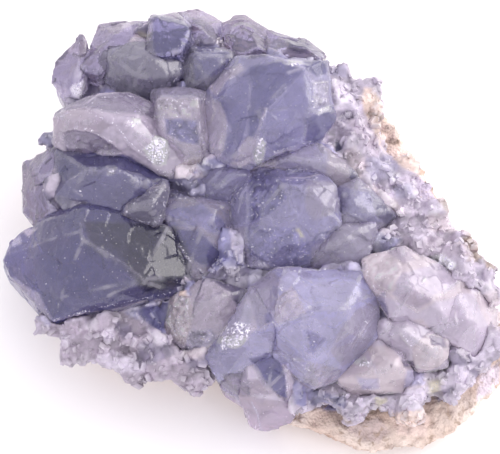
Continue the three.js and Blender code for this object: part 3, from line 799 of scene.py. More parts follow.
    Patch("mauve face", Tint.PEARL, "390,323 409,316 429,329 416,337 402,331"),
    Patch("pale grey crystal", Tint.BLUSH,
          "413,345 427,335 445,339 445,359 430,367 414,366", 0.4, grain=0.4),
    Patch("pale grey crystal, smoky cap", Tint.MAUVE, "428,338 441,339 442,347 430,347", grain=0.5),
    # Painted shade in the gap between crystals.
    Patch("dark gap", Tint.MAUVE, "446,340 457,346 464,358 481,364 449,367 445,356", -0.4),
    Patch("dark foot", Tint.MAUVE, "398,361 414,359 416,367 401,367", -0.3),
    # Painted fill light: painted lighter, as it faces away from the key light.
    Patch("frosted wedge", Tint.BLUSH, "339,378 352,366 368,359 378,374 381,393 352,396"),
    Patch("frosted wedge, purple face", Tint.LILAC, "359,376 378,375 379,386 362,388", -0.2),
    Patch("frosted wedge, bright top", Tint.FROST_AND_GLINT, "355,364 368,359 371,367 362,368", 0.2, grain=0.9),
    Patch("speckled lump", Tint.PEARL, "348,404 362,396 376,398 374,411 362,416", 0.4, grain=1.2),
    Patch("yellow crystals", Tint.LEMON, "427,382 441,379 440,396 430,393", 0.2, grain=0.9, soft=3),
    Patch("yellow crumbs", Tint.LEMON, "374,399 386,398 387,401 378,407", grain=0.3),
    # Painted shade in the pit.
    Patch("dark pit", Tint.MAUVE, "433,394 454,386 452,393 438,402", -0.5),
    Patch("grey bank", Tint.VEIL, "446,380 473,371 476,383 464,391 454,388", 0.2),
    # Painted shade in the crease.
    Patch("dark crease", Tint.MAUVE, "468,371 483,361 484,366 476,380", -0.4),
    Patch("rosy margin", Tint.BLUSH, "480,372 500,362 500,385 476,402", grain=0.3),
    Patch("crust foot, dark strip", Tint.SMOKE,
          "306,386 325,392 345,396 346,408 330,412 308,404", grain=0.6),

    # Foot crystal and the rock under it
    Patch("foot, dark face", Tint.DUSK, "250,356 272,351 282,364 288,399 279,396 266,383 256,367", -0.2),
    Patch("foot, pale face", Tint.PEARL, "249,364 256,368 262,379 250,379", 0.2),
    Patch("foot, clear side", Tint.VEIL, "282,361 290,359 294,407 288,402", 0.2),
    Patch("foot, lower face", Tint.ROSE, "248,394 287,400 293,410 290,424 266,432 248,425"),
    Patch("foot, pale band", Tint.PEARL, "255,393 277,394 286,402 258,397", 0.2),
    Patch("blue column", Tint.VIOLET, "291,377 306,388 306,407 296,404"),
    Patch("rock, dark crack", Tint.BROWN, "328,410 339,412 352,425 346,429 336,421", -0.5, grain=0.6),
    Patch("rock, grey bank", Tint.TAN, "346,428 378,418 390,431 378,444 362,441", grain=0.4),
    Patch("rock, orange break", Tint.PEACH, "390,415 422,407 430,418 425,437 397,434", grain=0.5),
    Patch("rock, brown speck", Tint.BROWN, "402,417 409,415 411,418 404,421", -0.2),
    Patch("rock, brown pit", Tint.BROWN, "445,409 454,410 452,415 446,414", -0.4),
)

STREAKS = (
    # Painted shadow line under the beige flat.
    Streak("under the beige flat", Tint.INK, "127,43 150,43", 0.8, -0.3),
    Streak("pane crack", Tint.SLATE, "138,74 145,69", 0.8, -0.3),
    Streak("slate bank ridge", Tint.ASH, "91,82 108,87 124,94 140,99"),
    Streak("slate bank crack", Tint.ASH, "171,86 180,72 184,62", 0.7),
    Streak("grey block edge", Tint.HAZE, "177,62 185,48 191,44", 0.7),
    Streak("upper middle edge", Tint.VEIL, "194,47 212,50 232,53", 0.7),
    Streak("largest, left rim", Tint.PEARL, "212,92 220,78 229,71 241,68", 0.8, 0.2),
    Streak("largest, second rim", Tint.VEIL, "216,96 224,84 234,76", 0.6),
    Streak("largest, ridge", Tint.DEEP, "303,71 284,90 264,110", 1.0, 0.2),
    Streak("largest, lower ridge", Tint.VEIL, "264,110 261,128 257,142", 0.8, 0.2),
    Streak("largest, left ridge", Tint.HEATHER, "252,84 251,112 246,139 238,157", 0.9, 0.2),
    Streak("largest, right ridge", Tint.HEATHER, "311,112 306,116 302,138", 0.8, 0.1),
    Streak("streak bundle, first", Tint.FROST_AND_GLINT, "312,84 326,82", 0.7, 0.2),
    Streak("streak bundle, second", Tint.GLEAM, "310,89 328,87", 0.7, 0.2),
    Streak("streak bundle, third", Tint.GLEAM, "311,95 327,93", 0.6, 0.2),
    Streak("streak bundle, fourth", Tint.PEARL, "311,101 325,100", 0.6, 0.2),
    Streak("largest, foot edge", Tint.VEIL, "273,152 290,147 314,141", 0.8, 0.2),
    Streak("glint row, left", Tint.FROST_AND_GLINT, "216,166 226,165 243,163", 0.9, 0.2),
    Streak("strips, edge", Tint.PEARL, "284,180 305,181 318,178", 0.7, 0.2),
    Streak("strips, upper edge", Tint.VEIL, "286,170 304,169 318,173", 0.6, 0.2),
    Streak("frosted, brow edge", Tint.PEARL, "57,119 72,110 86,107 99,98 118,97", 0.9, 0.2),
    Streak("frosted, ridge", Tint.VEIL, "86,111 115,124 128,141 150,160 166,176", 0.9, 0.2),
    Streak("frosted, hollow edge", Tint.VEIL, "62,142 66,131 77,127 90,129 112,142", 0.8, 0.2),
    Streak("square, top edge", Tint.PEARL, "161,99 176,101 206,99", 0.7, 0.2),
    Streak("square, left edge", Tint.PEARL, "161,99 158,110 153,121", 0.8, 0.2),
    Streak("square, right edge", Tint.VEIL, "199,102 200,130 206,158", 0.8, 0.1),
    Streak("deep, ridge", Tint.HEATHER, "69,182 89,171 112,171 140,176", 0.8, 0.2),
    Streak("deep, short streak", Tint.GLEAM, "77,190 83,194", 0.8, 0.2),
    Streak("spike, left edge", Tint.PEARL, "126,212 142,196 166,186", 0.8, 0.2),
    Streak("spike, right edge", Tint.VEIL, "166,186 163,212 158,222 143,222 126,212", 0.7, 0.2),
    Streak("dark, crumb line", Tint.ASH, "169,228 177,240 187,256 196,267 205,274", 0.9, 0.3),
    Streak("dark, upper edge", Tint.HAZE, "87,243 112,258 138,276", 0.7, 0.1),
    Streak("dark, lower edge", Tint.VEIL, "54,320 90,310 134,300 172,293", 0.8, 0.2),
    # Painted shadow line along the side plate.
    Streak("side plate line", Tint.DEEP, "9,276 18,288 25,304 31,312", 0.8, -0.2),
    Streak("spar edge", Tint.VEIL, "137,314 152,332 160,345 169,342", 0.8, 0.2),
    Streak("dotted edge", Tint.ASH, "132,309 150,304 170,301", 0.7, 0.2),
    Streak("splinter, first", Tint.FROST_AND_GLINT, "172,306 170,320 177,336", 0.7, 0.2),
    Streak("splinter, second", Tint.GLEAM, "178,320 183,333", 0.7, 0.2),
    Streak("splinter, third", Tint.PEARL, "168,300 175,296 184,300", 0.7, 0.2),
    Streak("smoky pane edge", Tint.SLATE, "206,281 202,292 197,300 195,316", 0.9, -0.2),
    Streak("purple crystal edge", Tint.ASH, "205,275 223,267 249,267", 0.7, 0.2),
    Streak("inner pane edge", Tint.VEIL, "231,226 232,246 238,261 249,266", 0.9, 0.2),
    Streak("inner arc", Tint.ASH, "233,207 238,192 250,178", 0.8, 0.2),
    Streak("centre, lower edge", Tint.GLEAM, "250,264 272,264 284,269", 0.8, 0.2),
    Streak("centre, dark step", Tint.DUSK, "313,240 318,234 340,229", 1.0, -0.3),
    Streak("centre, scratch", Tint.GLEAM, "321,236 326,242", 0.7, 0.1),
    Streak("right pane arc", Tint.GLEAM, "338,215 350,213 360,216 372,224", 0.8, 0.2),
    Streak("lower centre, top edge", Tint.PEARL, "272,272 300,271 335,269", 0.7, 0.2),
    Streak("lower centre, wing ridge", Tint.PEARL, "282,282 281,300 278,318 262,330", 0.8, 0.2),
    # Painted shadow in the notch.
    Streak("lower centre, notch", Tint.VIOLET, "303,314 312,310 320,309", 0.8, -0.3),
    Streak("lower centre, top glint", Tint.GLEAM, "301,281 311,285", 0.7, 0.1),
    Streak("lower centre, ridge", Tint.GLEAM, "276,325 290,320 304,314", 0.8, 0.2),
    Streak("scratch, long", Tint.GLEAM, "358,338 370,321", 0.7, 0.1),
    Streak("scratch, crossing", Tint.PEARL, "348,348 372,312 378,306", 0.6, 0.1),
    Streak("lower centre, fold", Tint.GLEAM, "283,351 297,361 309,371", 0.7, 0.2),
    Streak("window streak", Tint.FROST_AND_GLINT, "401,333 406,339 412,346", 0.7, 0.2),
    Streak("lobe, left rim", Tint.BLUSH, "366,262 368,278 376,290 387,297", 0.9, 0.2),
    Streak("lobe, small streak", Tint.FROST_AND_GLINT, "421,284 424,279", 1.0, 0.2),
    Streak("lobe, shadow line", Tint.MAUVE, "430,327 444,337 459,347 476,362", 1.0, -0.4),
    Streak("foot, streak", Tint.GLEAM, "252,402 258,414 261,430", 0.7, 0.1),
    Streak("foot, dark line", Tint.SLATE, "270,386 280,397 288,402", 0.8, -0.1),
    Streak("foot, right line", Tint.PEARL, "282,362 287,380 289,400", 0.6, 0.1),
)

# Where large crystals press against each other, well inside the specimen's outline
SEAM_ZONE = (
    "60,75 110,40 160,25 230,35 310,65 350,130 400,200 470,260 480,340 440,375 "
    "380,395 300,390 250,400 215,370 170,345 60,300 25,265 40,200 45,150")

CRUST_ZONES = (
    Patch("between the crystals", Tint.IRIS,
          "60,60 230,40 320,62 334,150 372,200 382,250 350,270 "
          "320,260 270,330 180,360 110,300 40,260 50,150", 0.3),
    Patch("under the dark crystal", Tint.HAZE,
          "60,222 165,220 192,256 188,284 170,298 60,318 8,268", -1.8, soft=3),
    Patch("left rim", Tint.MAUVE, "20,150 50,40 150,5 150,50 90,100 60,220 20,240"),
    Patch("lower left", Tint.ROSE, "40,316 110,306 180,340 230,380 240,420 180,400 60,380"),
    Patch("lower right", Tint.PEARL, "330,350 380,300 500,280 500,400 440,410 340,410", soft=8),
)


def picture_places(points: np.ndarray) -> np.ndarray:
    """Where points of the specimen lie on the face, in quarter millimetres across and down.

    The face was traced from VIEW_DISTANCE away, so what stands nearer to the eye spreads outwards.

    Args:
        points: Places in metres, shape (n, 3).

    Returns:
        Across and down, shape (n, 2).
    """
    away = points - FACE_MIDDLE
    spread = VIEW_DISTANCE / (VIEW_DISTANCE - away @ OUT_OF_FACE)
    across = PHOTO_WIDTH / 2 + away @ ACROSS * spread / PIXEL
    down = PHOTO_HEIGHT / 2 - away @ UP_FACE * spread / PIXEL
    return np.stack([across, down], -1)


def depth_inside(places: np.ndarray, corners: np.ndarray) -> np.ndarray:
    """How deep each place lies inside a closed outline; outside it is less than nought.

    Args:
        places: Shape (n, 2).
        corners: The outline's corners, shape (m, 2).

    Returns:
        One signed distance for each place.
    """
    inside = np.zeros(len(places), bool)
    x, y = places[:, 0], places[:, 1]
    ring = np.vstack([corners, corners[:1]])
    for (x0, y0), (x1, y1) in zip(ring[:-1], ring[1:]):
        if y0 != y1:
            inside ^= ((y0 > y) != (y1 > y)) & (x < (x1 - x0) * (y - y0) / (y1 - y0) + x0)
    return np.where(inside, 1, -1) * distance_to_lines(places, ring[:-1], ring[1:])


@dataclass
class Skin:
    """Colour and relief of a surface's points, laid down patch by patch.

    Attributes:
        points: Places in metres, shape (n, 3).
        normals: Directions that they face, shape (n, 3).
        base: Linear colours before any patch, shape (n, 3) or (3,).
        wander: How far outlines stray from straight lines, in quarter millimetres.
        wander_pitch: Length of their waves in metres.
        turned_away: Least cosine between a surface and the way out of the face that takes colour.
        fade_in: How much more of it there is where colour takes fully.
        crumb_pitch: Size of the grains in broken patches, in metres.
        crumb_height: How high they stand, in millimetres.
        speckle: How much lighter and darker the grains are.
        lean: How much higher one side of a patch stands than its middle, as a share of its lift.
        rim_width: Width of the worn rim round a patch, in quarter millimetres.
        margin: How far round a patch or streak points are looked at, in quarter millimetres.
    """

    points: np.ndarray
    normals: np.ndarray
    base: np.ndarray
    wander: float = 0.9
    wander_pitch: float = 1.9 * MM
    turned_away: float = 0.02
    fade_in: float = 0.35
    crumb_pitch: float = 1.1 * MM
    crumb_height: float = 0.22
    speckle: float = 0.75
    lean: float = 0.7
    rim_width: float = 1.2
    margin: float = 4.0
    tints: np.ndarray = field(init=False)
    lift: np.ndarray = field(init=False)
    rim: np.ndarray = field(init=False)

    def __post_init__(self) -> None:
        """Starts from the base colour, with no relief, and finds the places on the face."""
        number = len(self.points)
        self.tints = np.array(np.broadcast_to(self.base, (number, 3)))
        self.lift = np.zeros(number)
        self.rim = np.zeros(number)
        stray = [
            rough_noise(self.points, self.wander_pitch, seed, 2)
            for seed in (Pattern.WANDER_ACROSS, Pattern.WANDER_DOWN)
        ]
        self.places = picture_places(self.points) + self.wander * np.stack(stray, -1)
        outward = self.normals @ OUT_OF_FACE
        self.facing = np.clip((outward - self.turned_away) / self.fade_in, 0, 1)
        self.crumbs = rough_noise(self.points, self.crumb_pitch, Pattern.CRUMBS, 2)

    def near(self, corners: np.ndarray, margin: float) -> np.ndarray:
        """Which points lie within a margin of the box round some corners."""
        low, high = corners.min(0) - margin, corners.max(0) + margin
        boxed = ((self.places > low) & (self.places < high)).all(1)
        return np.flatnonzero(boxed & (self.facing > 0))

    def lay_patch(self, patch: Patch, turn: float) -> None:
        """Colours, lifts and tilts what lies inside a patch.

        The relief is lift * (1 + lean * t), where t runs from -1 to 1 across the patch, plus crumbs.

        Args:
            patch: The patch.
            turn: Which way the patch leans, as an angle in radians.
        """
        corners = traced(patch.outline)
        middle = corners.mean(0)
        chosen = self.near(corners, self.margin + patch.soft)
        if not len(chosen):
            return
        places, facing, crumbs = self.places[chosen], self.facing[chosen], self.crumbs[chosen]
        depth = depth_inside(places, corners)
        cover = np.clip(0.5 + depth / (2 * patch.soft), 0, 1) * facing

        across = (places - middle) @ np.array([math.cos(turn), math.sin(turn)])
        across /= max(np.abs(corners - middle).max(), 1)
        tilted = patch.lift * (1 + self.lean * np.clip(across, -1, 1))
        raised = MM * (tilted + self.crumb_height * patch.grain * crumbs)
        self.lift[chosen] += cover * (raised - self.lift[chosen])

        speckle = np.clip(1 + self.speckle * patch.grain * crumbs, 0.45, 1.7)[:, None]
        colour = np.minimum(patch.tint.linear() * speckle, 0.95)
        self.tints[chosen] += cover[:, None] * (colour - self.tints[chosen])

        rim = facing * np.exp(-((depth / self.rim_width) ** 2)) / patch.soft**2
        self.rim[chosen] = np.maximum(self.rim[chosen] * (1 - cover), rim)

    def lay_streak(self, streak: Streak) -> None:
        """Draws a crack or worn edge as a thin line that comes and goes."""
        route = traced(streak.route)
        chosen = self.near(route, self.margin)
        if not len(chosen):
            return
        away = distance_to_lines(self.places[chosen], route[:-1], route[1:]) / streak.width
        gaps = np.clip(0.75 + 1.1 * self.crumbs[chosen], 0.15, 1)
        cover = np.exp(-(away**2)) * gaps * self.facing[chosen]
        self.lift[chosen] += cover * streak.lift * MM
        self.tints[chosen] += cover[:, None] * (streak.tint.linear() - self.tints[chosen])

    def lay_all(self) -> None:
        """Lays every patch, then every streak; each patch leans a golden angle on from the last."""
        for number, patch in enumerate(PATCHES):
            self.lay_patch(patch, number * GOLDEN_ANGLE)
        for streak in STREAKS:
            self.lay_streak(streak)


# Finishes


class Clarity(Enum):
    """How clear a crystal is.

    Each one holds the share of light let through, how its depth absorbs, how much lighter its surface
    is than the tint that reaches the eye, and its slot.
    """

    CLEAR = (0.72, 2.5, 1.26, "clear_crystal")
    DEEP = (0.7, 5.0, 1.08, "deep_crystal")
    MILKY = (0.62, 1.0, 1.26, "pale_crystal")


@dataclass(frozen=True)
class Celestine:
    """Celestine, strontium sulphate: grown in a vug, glassy to pearly, clouded by fluid veils.

    The eye gets violet-blue depth, milky wisps, worn edges that catch light, and fine dust.
    """

    clarity: Clarity
    cloud_size: float = 7 * MM
    mottle_size: float = 1.7 * MM
    wisp_size: float = 3.0 * MM
    dust_spacing: float = 1.25 * MM
    dust_size: float = 0.14
    pit_size: float = 0.5 * MM
    pit_depth: float = 0.1 * MM

    def material(self) -> bpy.types.Material:
        """Builds the material, or hands back the one already built for this clarity."""
        name = f"celestine_{self.clarity.name.lower()}"
        if name in bpy.data.materials:
            return bpy.data.materials[name]
        clearness, density, _, _ = self.clarity.value
        mix = Recipe(name)
        wear = mix.stored("edge_wear", "Fac")

        cloudy = mix.remap(mix.noise(self.cloud_size, 4.0, distortion=0.8), (0.36, 0.66), (0.9, 1.1))
        mottle = mix.noise(self.mottle_size, 4.0, 0.7)
        mottled = mix.remap(mottle, (0.34, 0.68), (0.93, 1.06))
        gain = mix.reckon("MULTIPLY", cloudy, mottled)
        body = mix.lightened(mix.stored("tint", "Color"), gain)

        wisps = mix.remap(mix.noise(self.wisp_size, 5.0, 0.65, 1.6), (0.56, 0.76), (0.0, 0.25))
        veiled = mix.blend(wisps, body, hex_colour("#D8D3E4"))
        worn = mix.blend(wear, veiled, hex_colour("#E2DDEA"))

        specks = mix.cells(self.dust_spacing)
        speck_size = mix.reckon("MULTIPLY", specks.outputs["Color"], self.dust_size)
        dusty = mix.reckon("LESS_THAN", specks.outputs["Distance"], speck_size)
        dusted = mix.blend(dusty, worn, hex_colour("#E9E5F0"))

        polish = mix.remap(mottle, (0.3, 0.7), (0.06, 0.26))
        scuffed = mix.reckon("MULTIPLY_ADD", wear, 0.5, polish)
        roughness = mix.reckon("MULTIPLY_ADD", dusty, 0.5, scuffed, clamp=True)
        pits = mix.bump(mix.noise(self.pit_size, 3.0), 0.12, self.pit_depth)
        absorbing = add(mix.tree, "ShaderNodeVolumeAbsorption", {
            "Color": hex_colour("#9A97CE"), "Density": density}).outputs[0]
        return mix.finish({
            "Base Color": dusted, "Roughness": roughness, "IOR": CELESTINE_INDEX,
            "Transmission Weight": clearness, "Normal": pits}, absorbing)


@dataclass(frozen=True)
class CrustCelestine:
    """Massive crystalline celestine: thousands of small crystals grown together, frosted.

    It looks like lilac sugar: pale, a little see-through, patchy, with lighter tips.
    """

    crystal_size: float = 1.4 * MM
    mottle_size: float = 2.4 * MM
    pit_size: float = 0.5 * MM
    pit_depth: float = 0.16 * MM
    light_depth: float = 1 * MM

    def material(self) -> bpy.types.Material:
        """Builds the material once."""
        name = "frosted_celestine_crust"
        if name in bpy.data.materials:
            return bpy.data.materials[name]
        mix = Recipe(name)
        mottled = mix.remap(mix.noise(self.mottle_size, 5.0, 0.7), (0.34, 0.68), (0.78, 1.14))
        crystals = mix.cells(self.crystal_size).outputs["Color"]
        grey = add(mix.tree, "ShaderNodeRGBToBW", {"Color": crystals}).outputs[0]
        grained = mix.remap(grey, (0.2, 0.8), (0.88, 1.1))
        gain = mix.reckon("MULTIPLY", grained, mottled)
        body = mix.lightened(mix.stored("tint", "Color"), gain)
        tipped = mix.blend(mix.stored("tip", "Fac"), body, hex_colour("#EFE9F1"))
        pits = mix.bump(mix.noise(self.pit_size, 3.0), 0.4, self.pit_depth)
        return mix.finish({
            "Base Color": tipped, "Roughness": mix.remap(grey, (0.0, 1.0), (0.24, 0.55)),
            "IOR": CELESTINE_INDEX, "Transmission Weight": 0.3, "Subsurface Weight": 0.12,
            "Subsurface Scale": self.light_depth, "Subsurface Radius": (1.0, 0.9, 1.1),
            "Normal": pits})


@dataclass(frozen=True)
class CrushedCelestine:
    """Celestine crushed white where it broke: it scatters light and hardly lets it in."""

    clump_size: float = 1.1 * MM

    def material(self) -> bpy.types.Material:
        """Builds the material."""
        mix = Recipe("frosted_celestine_splinters")
        tone = mix.remap(mix.noise(self.clump_size, 2.0), (0.35, 0.6), (0.0, 1.0))
        colour = mix.blend(tone, hex_colour("#B5AEC6"), hex_colour("#E9E5EE"))
        return mix.finish({"Base Color": colour, "Roughness": 0.42, "IOR": CELESTINE_INDEX})


@dataclass(frozen=True)
class LimyRock:
    """Limy host rock, broken by hammer: cream to peach, chalky, with brown-grey stains and spots."""

    stain_size: float = 8 * MM
    spot_size: float = 2.2 * MM
    grit_size: float = 0.7 * MM
    grit_depth: float = 0.4 * MM

    def material(self) -> bpy.types.Material:
        """Builds the material."""
        mix = Recipe("broken_limy_rock")
        stained = mix.remap(mix.noise(self.stain_size, 5.0, 0.7), (0.35, 0.65), (0.84, 1.1))
        body = mix.lightened(mix.stored("tint", "Color"), stained)
        spots = mix.remap(mix.noise(self.spot_size, 5.0, distortion=0.6), (0.56, 0.68), (0.0, 0.75))
        spotted = mix.blend(spots, body, hex_colour("#A8917F"))
        grit = mix.bump(mix.cells(self.grit_size).outputs["Distance"], 0.8, self.grit_depth)
        return mix.finish({"Base Color": spotted, "Roughness": 0.9, "Normal": grit})


# Pieces


@dataclass
class LargeCrystal:
    """One large crystal, or a few grown into each other, with growth steps and chipped edges.

    Attributes:
        node: The solid that it stands for.
        tint: Its colour where no patch lies, mostly its steep sides; set lighter than its faces as painted
            fill light.
        clarity: How clear it is.
        step: Size of its faces.
        swell: How far all of it grows outwards.
        seam_swell: How much further it grows where it presses against its neighbours.
        seam_reach: Distance over which that sets in, in quarter millimetres on the face.
        terrace: Height of a growth step.
        terrace_pitch: Size of the growth hills that the steps run round.
        terrace_count: How many steps a hill has.
        facet, facet_slope: Width and slope of the shallow tilted facets.
        grain, grain_pitch: Height and size of the finest relief.
        sharp_turn: Least angle of an edge that wears and chips.
        chip_depth, chip_size, chip_reach: Depth of the chips, their size, and how far in they go.
        wear_width, wear_pitch: Width of the worn edges, and how often wear comes and goes.
        side_fill_paint: Painted fill light: how much lighter its sides are painted, since they see less
            light.
    """

    node: str
    tint: Tint
    clarity: Clarity
    step: float = 0.34 * MM
    swell: float = 0.2 * MM
    seam_swell: float = 0.8 * MM
    seam_reach: float = 12.0
    terrace: float = 0.07 * MM
    terrace_pitch: float = 7 * MM
    terrace_count: float = 2.4
    facet: float = 5.5 * MM
    facet_slope: float = 0.07
    grain: float = 0.02 * MM
    grain_pitch: float = 1.6 * MM
    sharp_turn: float = math.radians(20)
    chip_depth: float = 0.28 * MM
    chip_size: float = 1.8 * MM
    chip_reach: float = 0.8 * MM
    wear_width: float = 0.3 * MM
    wear_pitch: float = 3 * MM
    side_fill_paint: float = 0.45
    piece: bpy.types.Object = field(init=False, default=None)

    def build(self) -> bpy.types.Object:
        """Resamples the solid, carves it and dresses it.

        Returns:
            The finished piece.
        """
        self.piece = merged_copy(self.node, f"{self.node}_grown")
        starts, ends = sharp_edges(self.piece.data, self.sharp_turn)
        resample(self.piece, self.step)
        mesh = self.piece.data
        points, normals = coords_of(mesh), normals_of(mesh)
        skin = Skin(points, normals, self.tint.linear())
        skin.lay_all()
        edge = distance_to_lines(points, starts, ends)
        chips = self.chips(points, edge)
        relief = self.growth(skin) + skin.lift - self.chip_depth * np.minimum(3 * chips, 1)
        set_coords(mesh, points + normals * relief[:, None])
        self.dress(skin, edge, chips)
        return self.piece

    def growth(self, skin: Skin) -> np.ndarray:
        """How far the surface grows outwards: swell, growth steps, facets and grain, in metres."""
        points = skin.points
        hills = self.terrace_count * rough_noise(points, self.terrace_pitch, Pattern.TERRACES, 3)
        steps = np.floor(hills) + np.clip((hills % 1) * 5, 0, 1)
        inner = depth_inside(skin.places, traced(SEAM_ZONE)) / self.seam_reach
        facets = block_relief(points, self.facet, Pattern.FACETS, self.facet_slope)
        grain = self.grain * rough_noise(points, self.grain_pitch, Pattern.GRAIN, 2)
        swell = self.swell + self.seam_swell * np.clip(inner, 0, 1)
        return swell + self.terrace * steps + facets + grain

    def chips(self, points: np.ndarray, edge: np.ndarray) -> np.ndarray:
        """Where an edge and a noise peak fall together, from 0 up; there the edge is chipped."""
        peaks = rough_noise(points, self.chip_size, Pattern.CHIPS, 3) - 0.12
        return np.clip(peaks, 0, 1) * np.clip(1 - edge / self.chip_reach, 0, 1)

    def dress(self, skin: Skin, edge: np.ndarray, chips: np.ndarray) -> None:
        """Stores wear and colour, and puts the material on."""
        mesh = self.piece.data
        worn = 0.5 + 0.5 * rough_noise(skin.points, self.wear_pitch, Pattern.WEAR, 2)
        line = np.maximum(np.exp(-((edge / self.wear_width) ** 2)), 0.8 * skin.rim)
        wear = 0.7 * line * np.clip(3 * worn - 1.3, 0, 1) + 0.5 * chips
        set_attribute(mesh, "edge_wear", np.clip(wear, 0, 1))
        _, _, lightening, slot = self.clarity.value
        # Painted fill light: sides turned from the face are painted lighter.
        painted_fill_gain = 1 + self.side_fill_paint * (1 - skin.facing)
        set_colours(mesh, lightening * painted_fill_gain[:, None] * skin.tints)
        mesh.shade_smooth()
        mesh.materials.append(Celestine(self.clarity).material())
        settle(self.piece, self.node)


@dataclass(frozen=True)
class CrustTones:
    """How the crust's own crystals differ in tone, before and after the traced patches."""

    coarse: float = 5.5 * MM
    fine: float = 2.1 * MM
    middle: float = 0.88
    coarse_spread: float = 0.3
    fine_spread: float = 0.24
    gain: float = 1.02

    def skin(self, points: np.ndarray, normals: np.ndarray) -> Skin:
        """Colours the crust: zones first, then a tone for each of its crystals, then all patches.

        Args:
            points: Places in metres, shape (n, 3).
            normals: Directions that they face.

        Returns:
            The finished skin.
        """
        skin = Skin(points, normals, Tint.VEIL.linear())
        for zone in CRUST_ZONES:
            skin.lay_patch(zone, 0.0)
        ground = np.array(skin.lift)
        skin.lift[:] = 0
        coarse = cell_noise(points, self.coarse, Pattern.COARSE_TONES).dice[:, 1] - 0.5
        fine = cell_noise(points, self.fine, Pattern.FINE_TONES).dice[:, 1] - 0.5
        shade = self.middle + self.coarse_spread * coarse + self.fine_spread * fine
        skin.tints *= shade[:, None]
        skin.lay_all()
        skin.lift += ground
        skin.tints *= self.gain
        return skin


@dataclass
class CrystalCrust:
    """The crust of small crystals: the solid's lumps, carved into tilted faces of two sizes.

    Attributes:
        step: Size of its faces.
        fill: Half the width of the clefts that are filled.
        block, block_slope: Width and slope of the larger crystals' faces.
        facet, facet_slope: Width and slope of the smaller ones.
        tip_height: How high a peak stands whose tip is fully pale.
    """

    step: float = 0.58 * MM
    fill: float = 1.6 * MM
    block: float = 4.6 * MM
    block_slope: float = 0.24
    facet: float = 1.9 * MM
    facet_slope: float = 0.16
    tip_height: float = 0.7 * MM
    piece: bpy.types.Object = field(init=False, default=None)

    def build(self) -> bpy.types.Object:
        """Fills the narrow clefts, then raises block relief along the normals.

        The clefts close when the surface is moved out by the fill, resampled and moved back in.

        Returns:
            The finished piece.
        """
        self.piece = merged_copy("crystal_crust", "crystal_crust_grown")
        for offset in (self.fill, -self.fill, 0.0):
            resample(self.piece, self.step)
            mesh = self.piece.data
            set_coords(mesh, coords_of(mesh) + offset * normals_of(mesh))
        points, normals = coords_of(mesh), normals_of(mesh)
        skin = CrustTones().skin(points, normals)
        relief = block_relief(points, self.block, Pattern.BLOCKS, self.block_slope)
        relief += block_relief(points, self.facet, Pattern.SMALL_FACETS, self.facet_slope)
        relief += skin.lift
        set_coords(mesh, points + normals * relief[:, None])
        set_attribute(mesh, "tip", TIP_PALENESS * np.clip(relief / self.tip_height - 0.5, 0, 1))
        set_colours(mesh, skin.tints)
        mesh.shade_smooth()
        mesh.materials.append(CrustCelestine().material())
        settle(self.piece, "crystal_crust")
        return self.piece


@dataclass
class HostRock:
    """The host rock: broken faces with ledges, pits and grit, and a flat base.

    Attributes:
        step: Size of its faces.
        stain_pitch: Size of the cream and peach areas.
        dark, light: The colours between which they vary.
        ledge, ledge_pitch: Height and size of the ledges.
        break_pitch, break_slope: Width and slope of the broken faces.
        grit, grit_pitch: Height and size of the grit.
        held: Height over the base below which the relief dies out.
    """

    step: float = 0.7 * MM
    stain_pitch: float = 9 * MM
    dark: str = "#CDB4A6"
    light: str = "#EADACF"
    ledge: float = 0.55 * MM
    ledge_pitch: float = 6 * MM
    break_pitch: float = 2.6 * MM
    break_slope: float = 0.35
    grit: float = 0.26 * MM
    grit_pitch: float = 0.9 * MM
    held: float = 1.5 * MM
    piece: bpy.types.Object = field(init=False, default=None)

    def build(self) -> bpy.types.Object:
        """Resamples the solid and roughens all but its base.

        Returns:
            The finished piece.
        """
        self.piece = merged_copy("host_rock", "host_rock_broken")
        resample(self.piece, self.step)
        mesh = self.piece.data
        points, normals = coords_of(mesh), normals_of(mesh)
        skin = Skin(points, normals, self.ground_tints(points))
        skin.lay_all()
        relief = self.ledge * rough_noise(points, self.ledge_pitch, Pattern.LEDGES) + skin.lift
        relief += block_relief(points, self.break_pitch, Pattern.BROKEN_FACES, self.break_slope)
        relief += self.grit * rough_noise(points, self.grit_pitch, Pattern.GRIT, 1)
        relief *= np.clip(points[:, 2] / self.held, 0, 1)
        moved = points + normals * relief[:, None]
        moved[:, 2] = np.maximum(moved[:, 2], 0)
        set_coords(mesh, moved)
        set_colours(mesh, skin.tints)
        mesh.shade_smooth()
        mesh.materials.append(LimyRock().material())
        settle(self.piece, "host_rock")
        return self.piece

    def ground_tints(self, points: np.ndarray) -> np.ndarray:
        """Cream and peach in broad areas, one linear colour for each point."""
        peachy = 0.5 + rough_noise(points, self.stain_pitch, Pattern.PEACHY_STAINS, 3)
        dark, light = (np.array(hex_colour(code)[:3]) for code in (self.dark, self.light))
        return dark + np.clip(peachy, 0, 1)[:, None] * (light - dark)


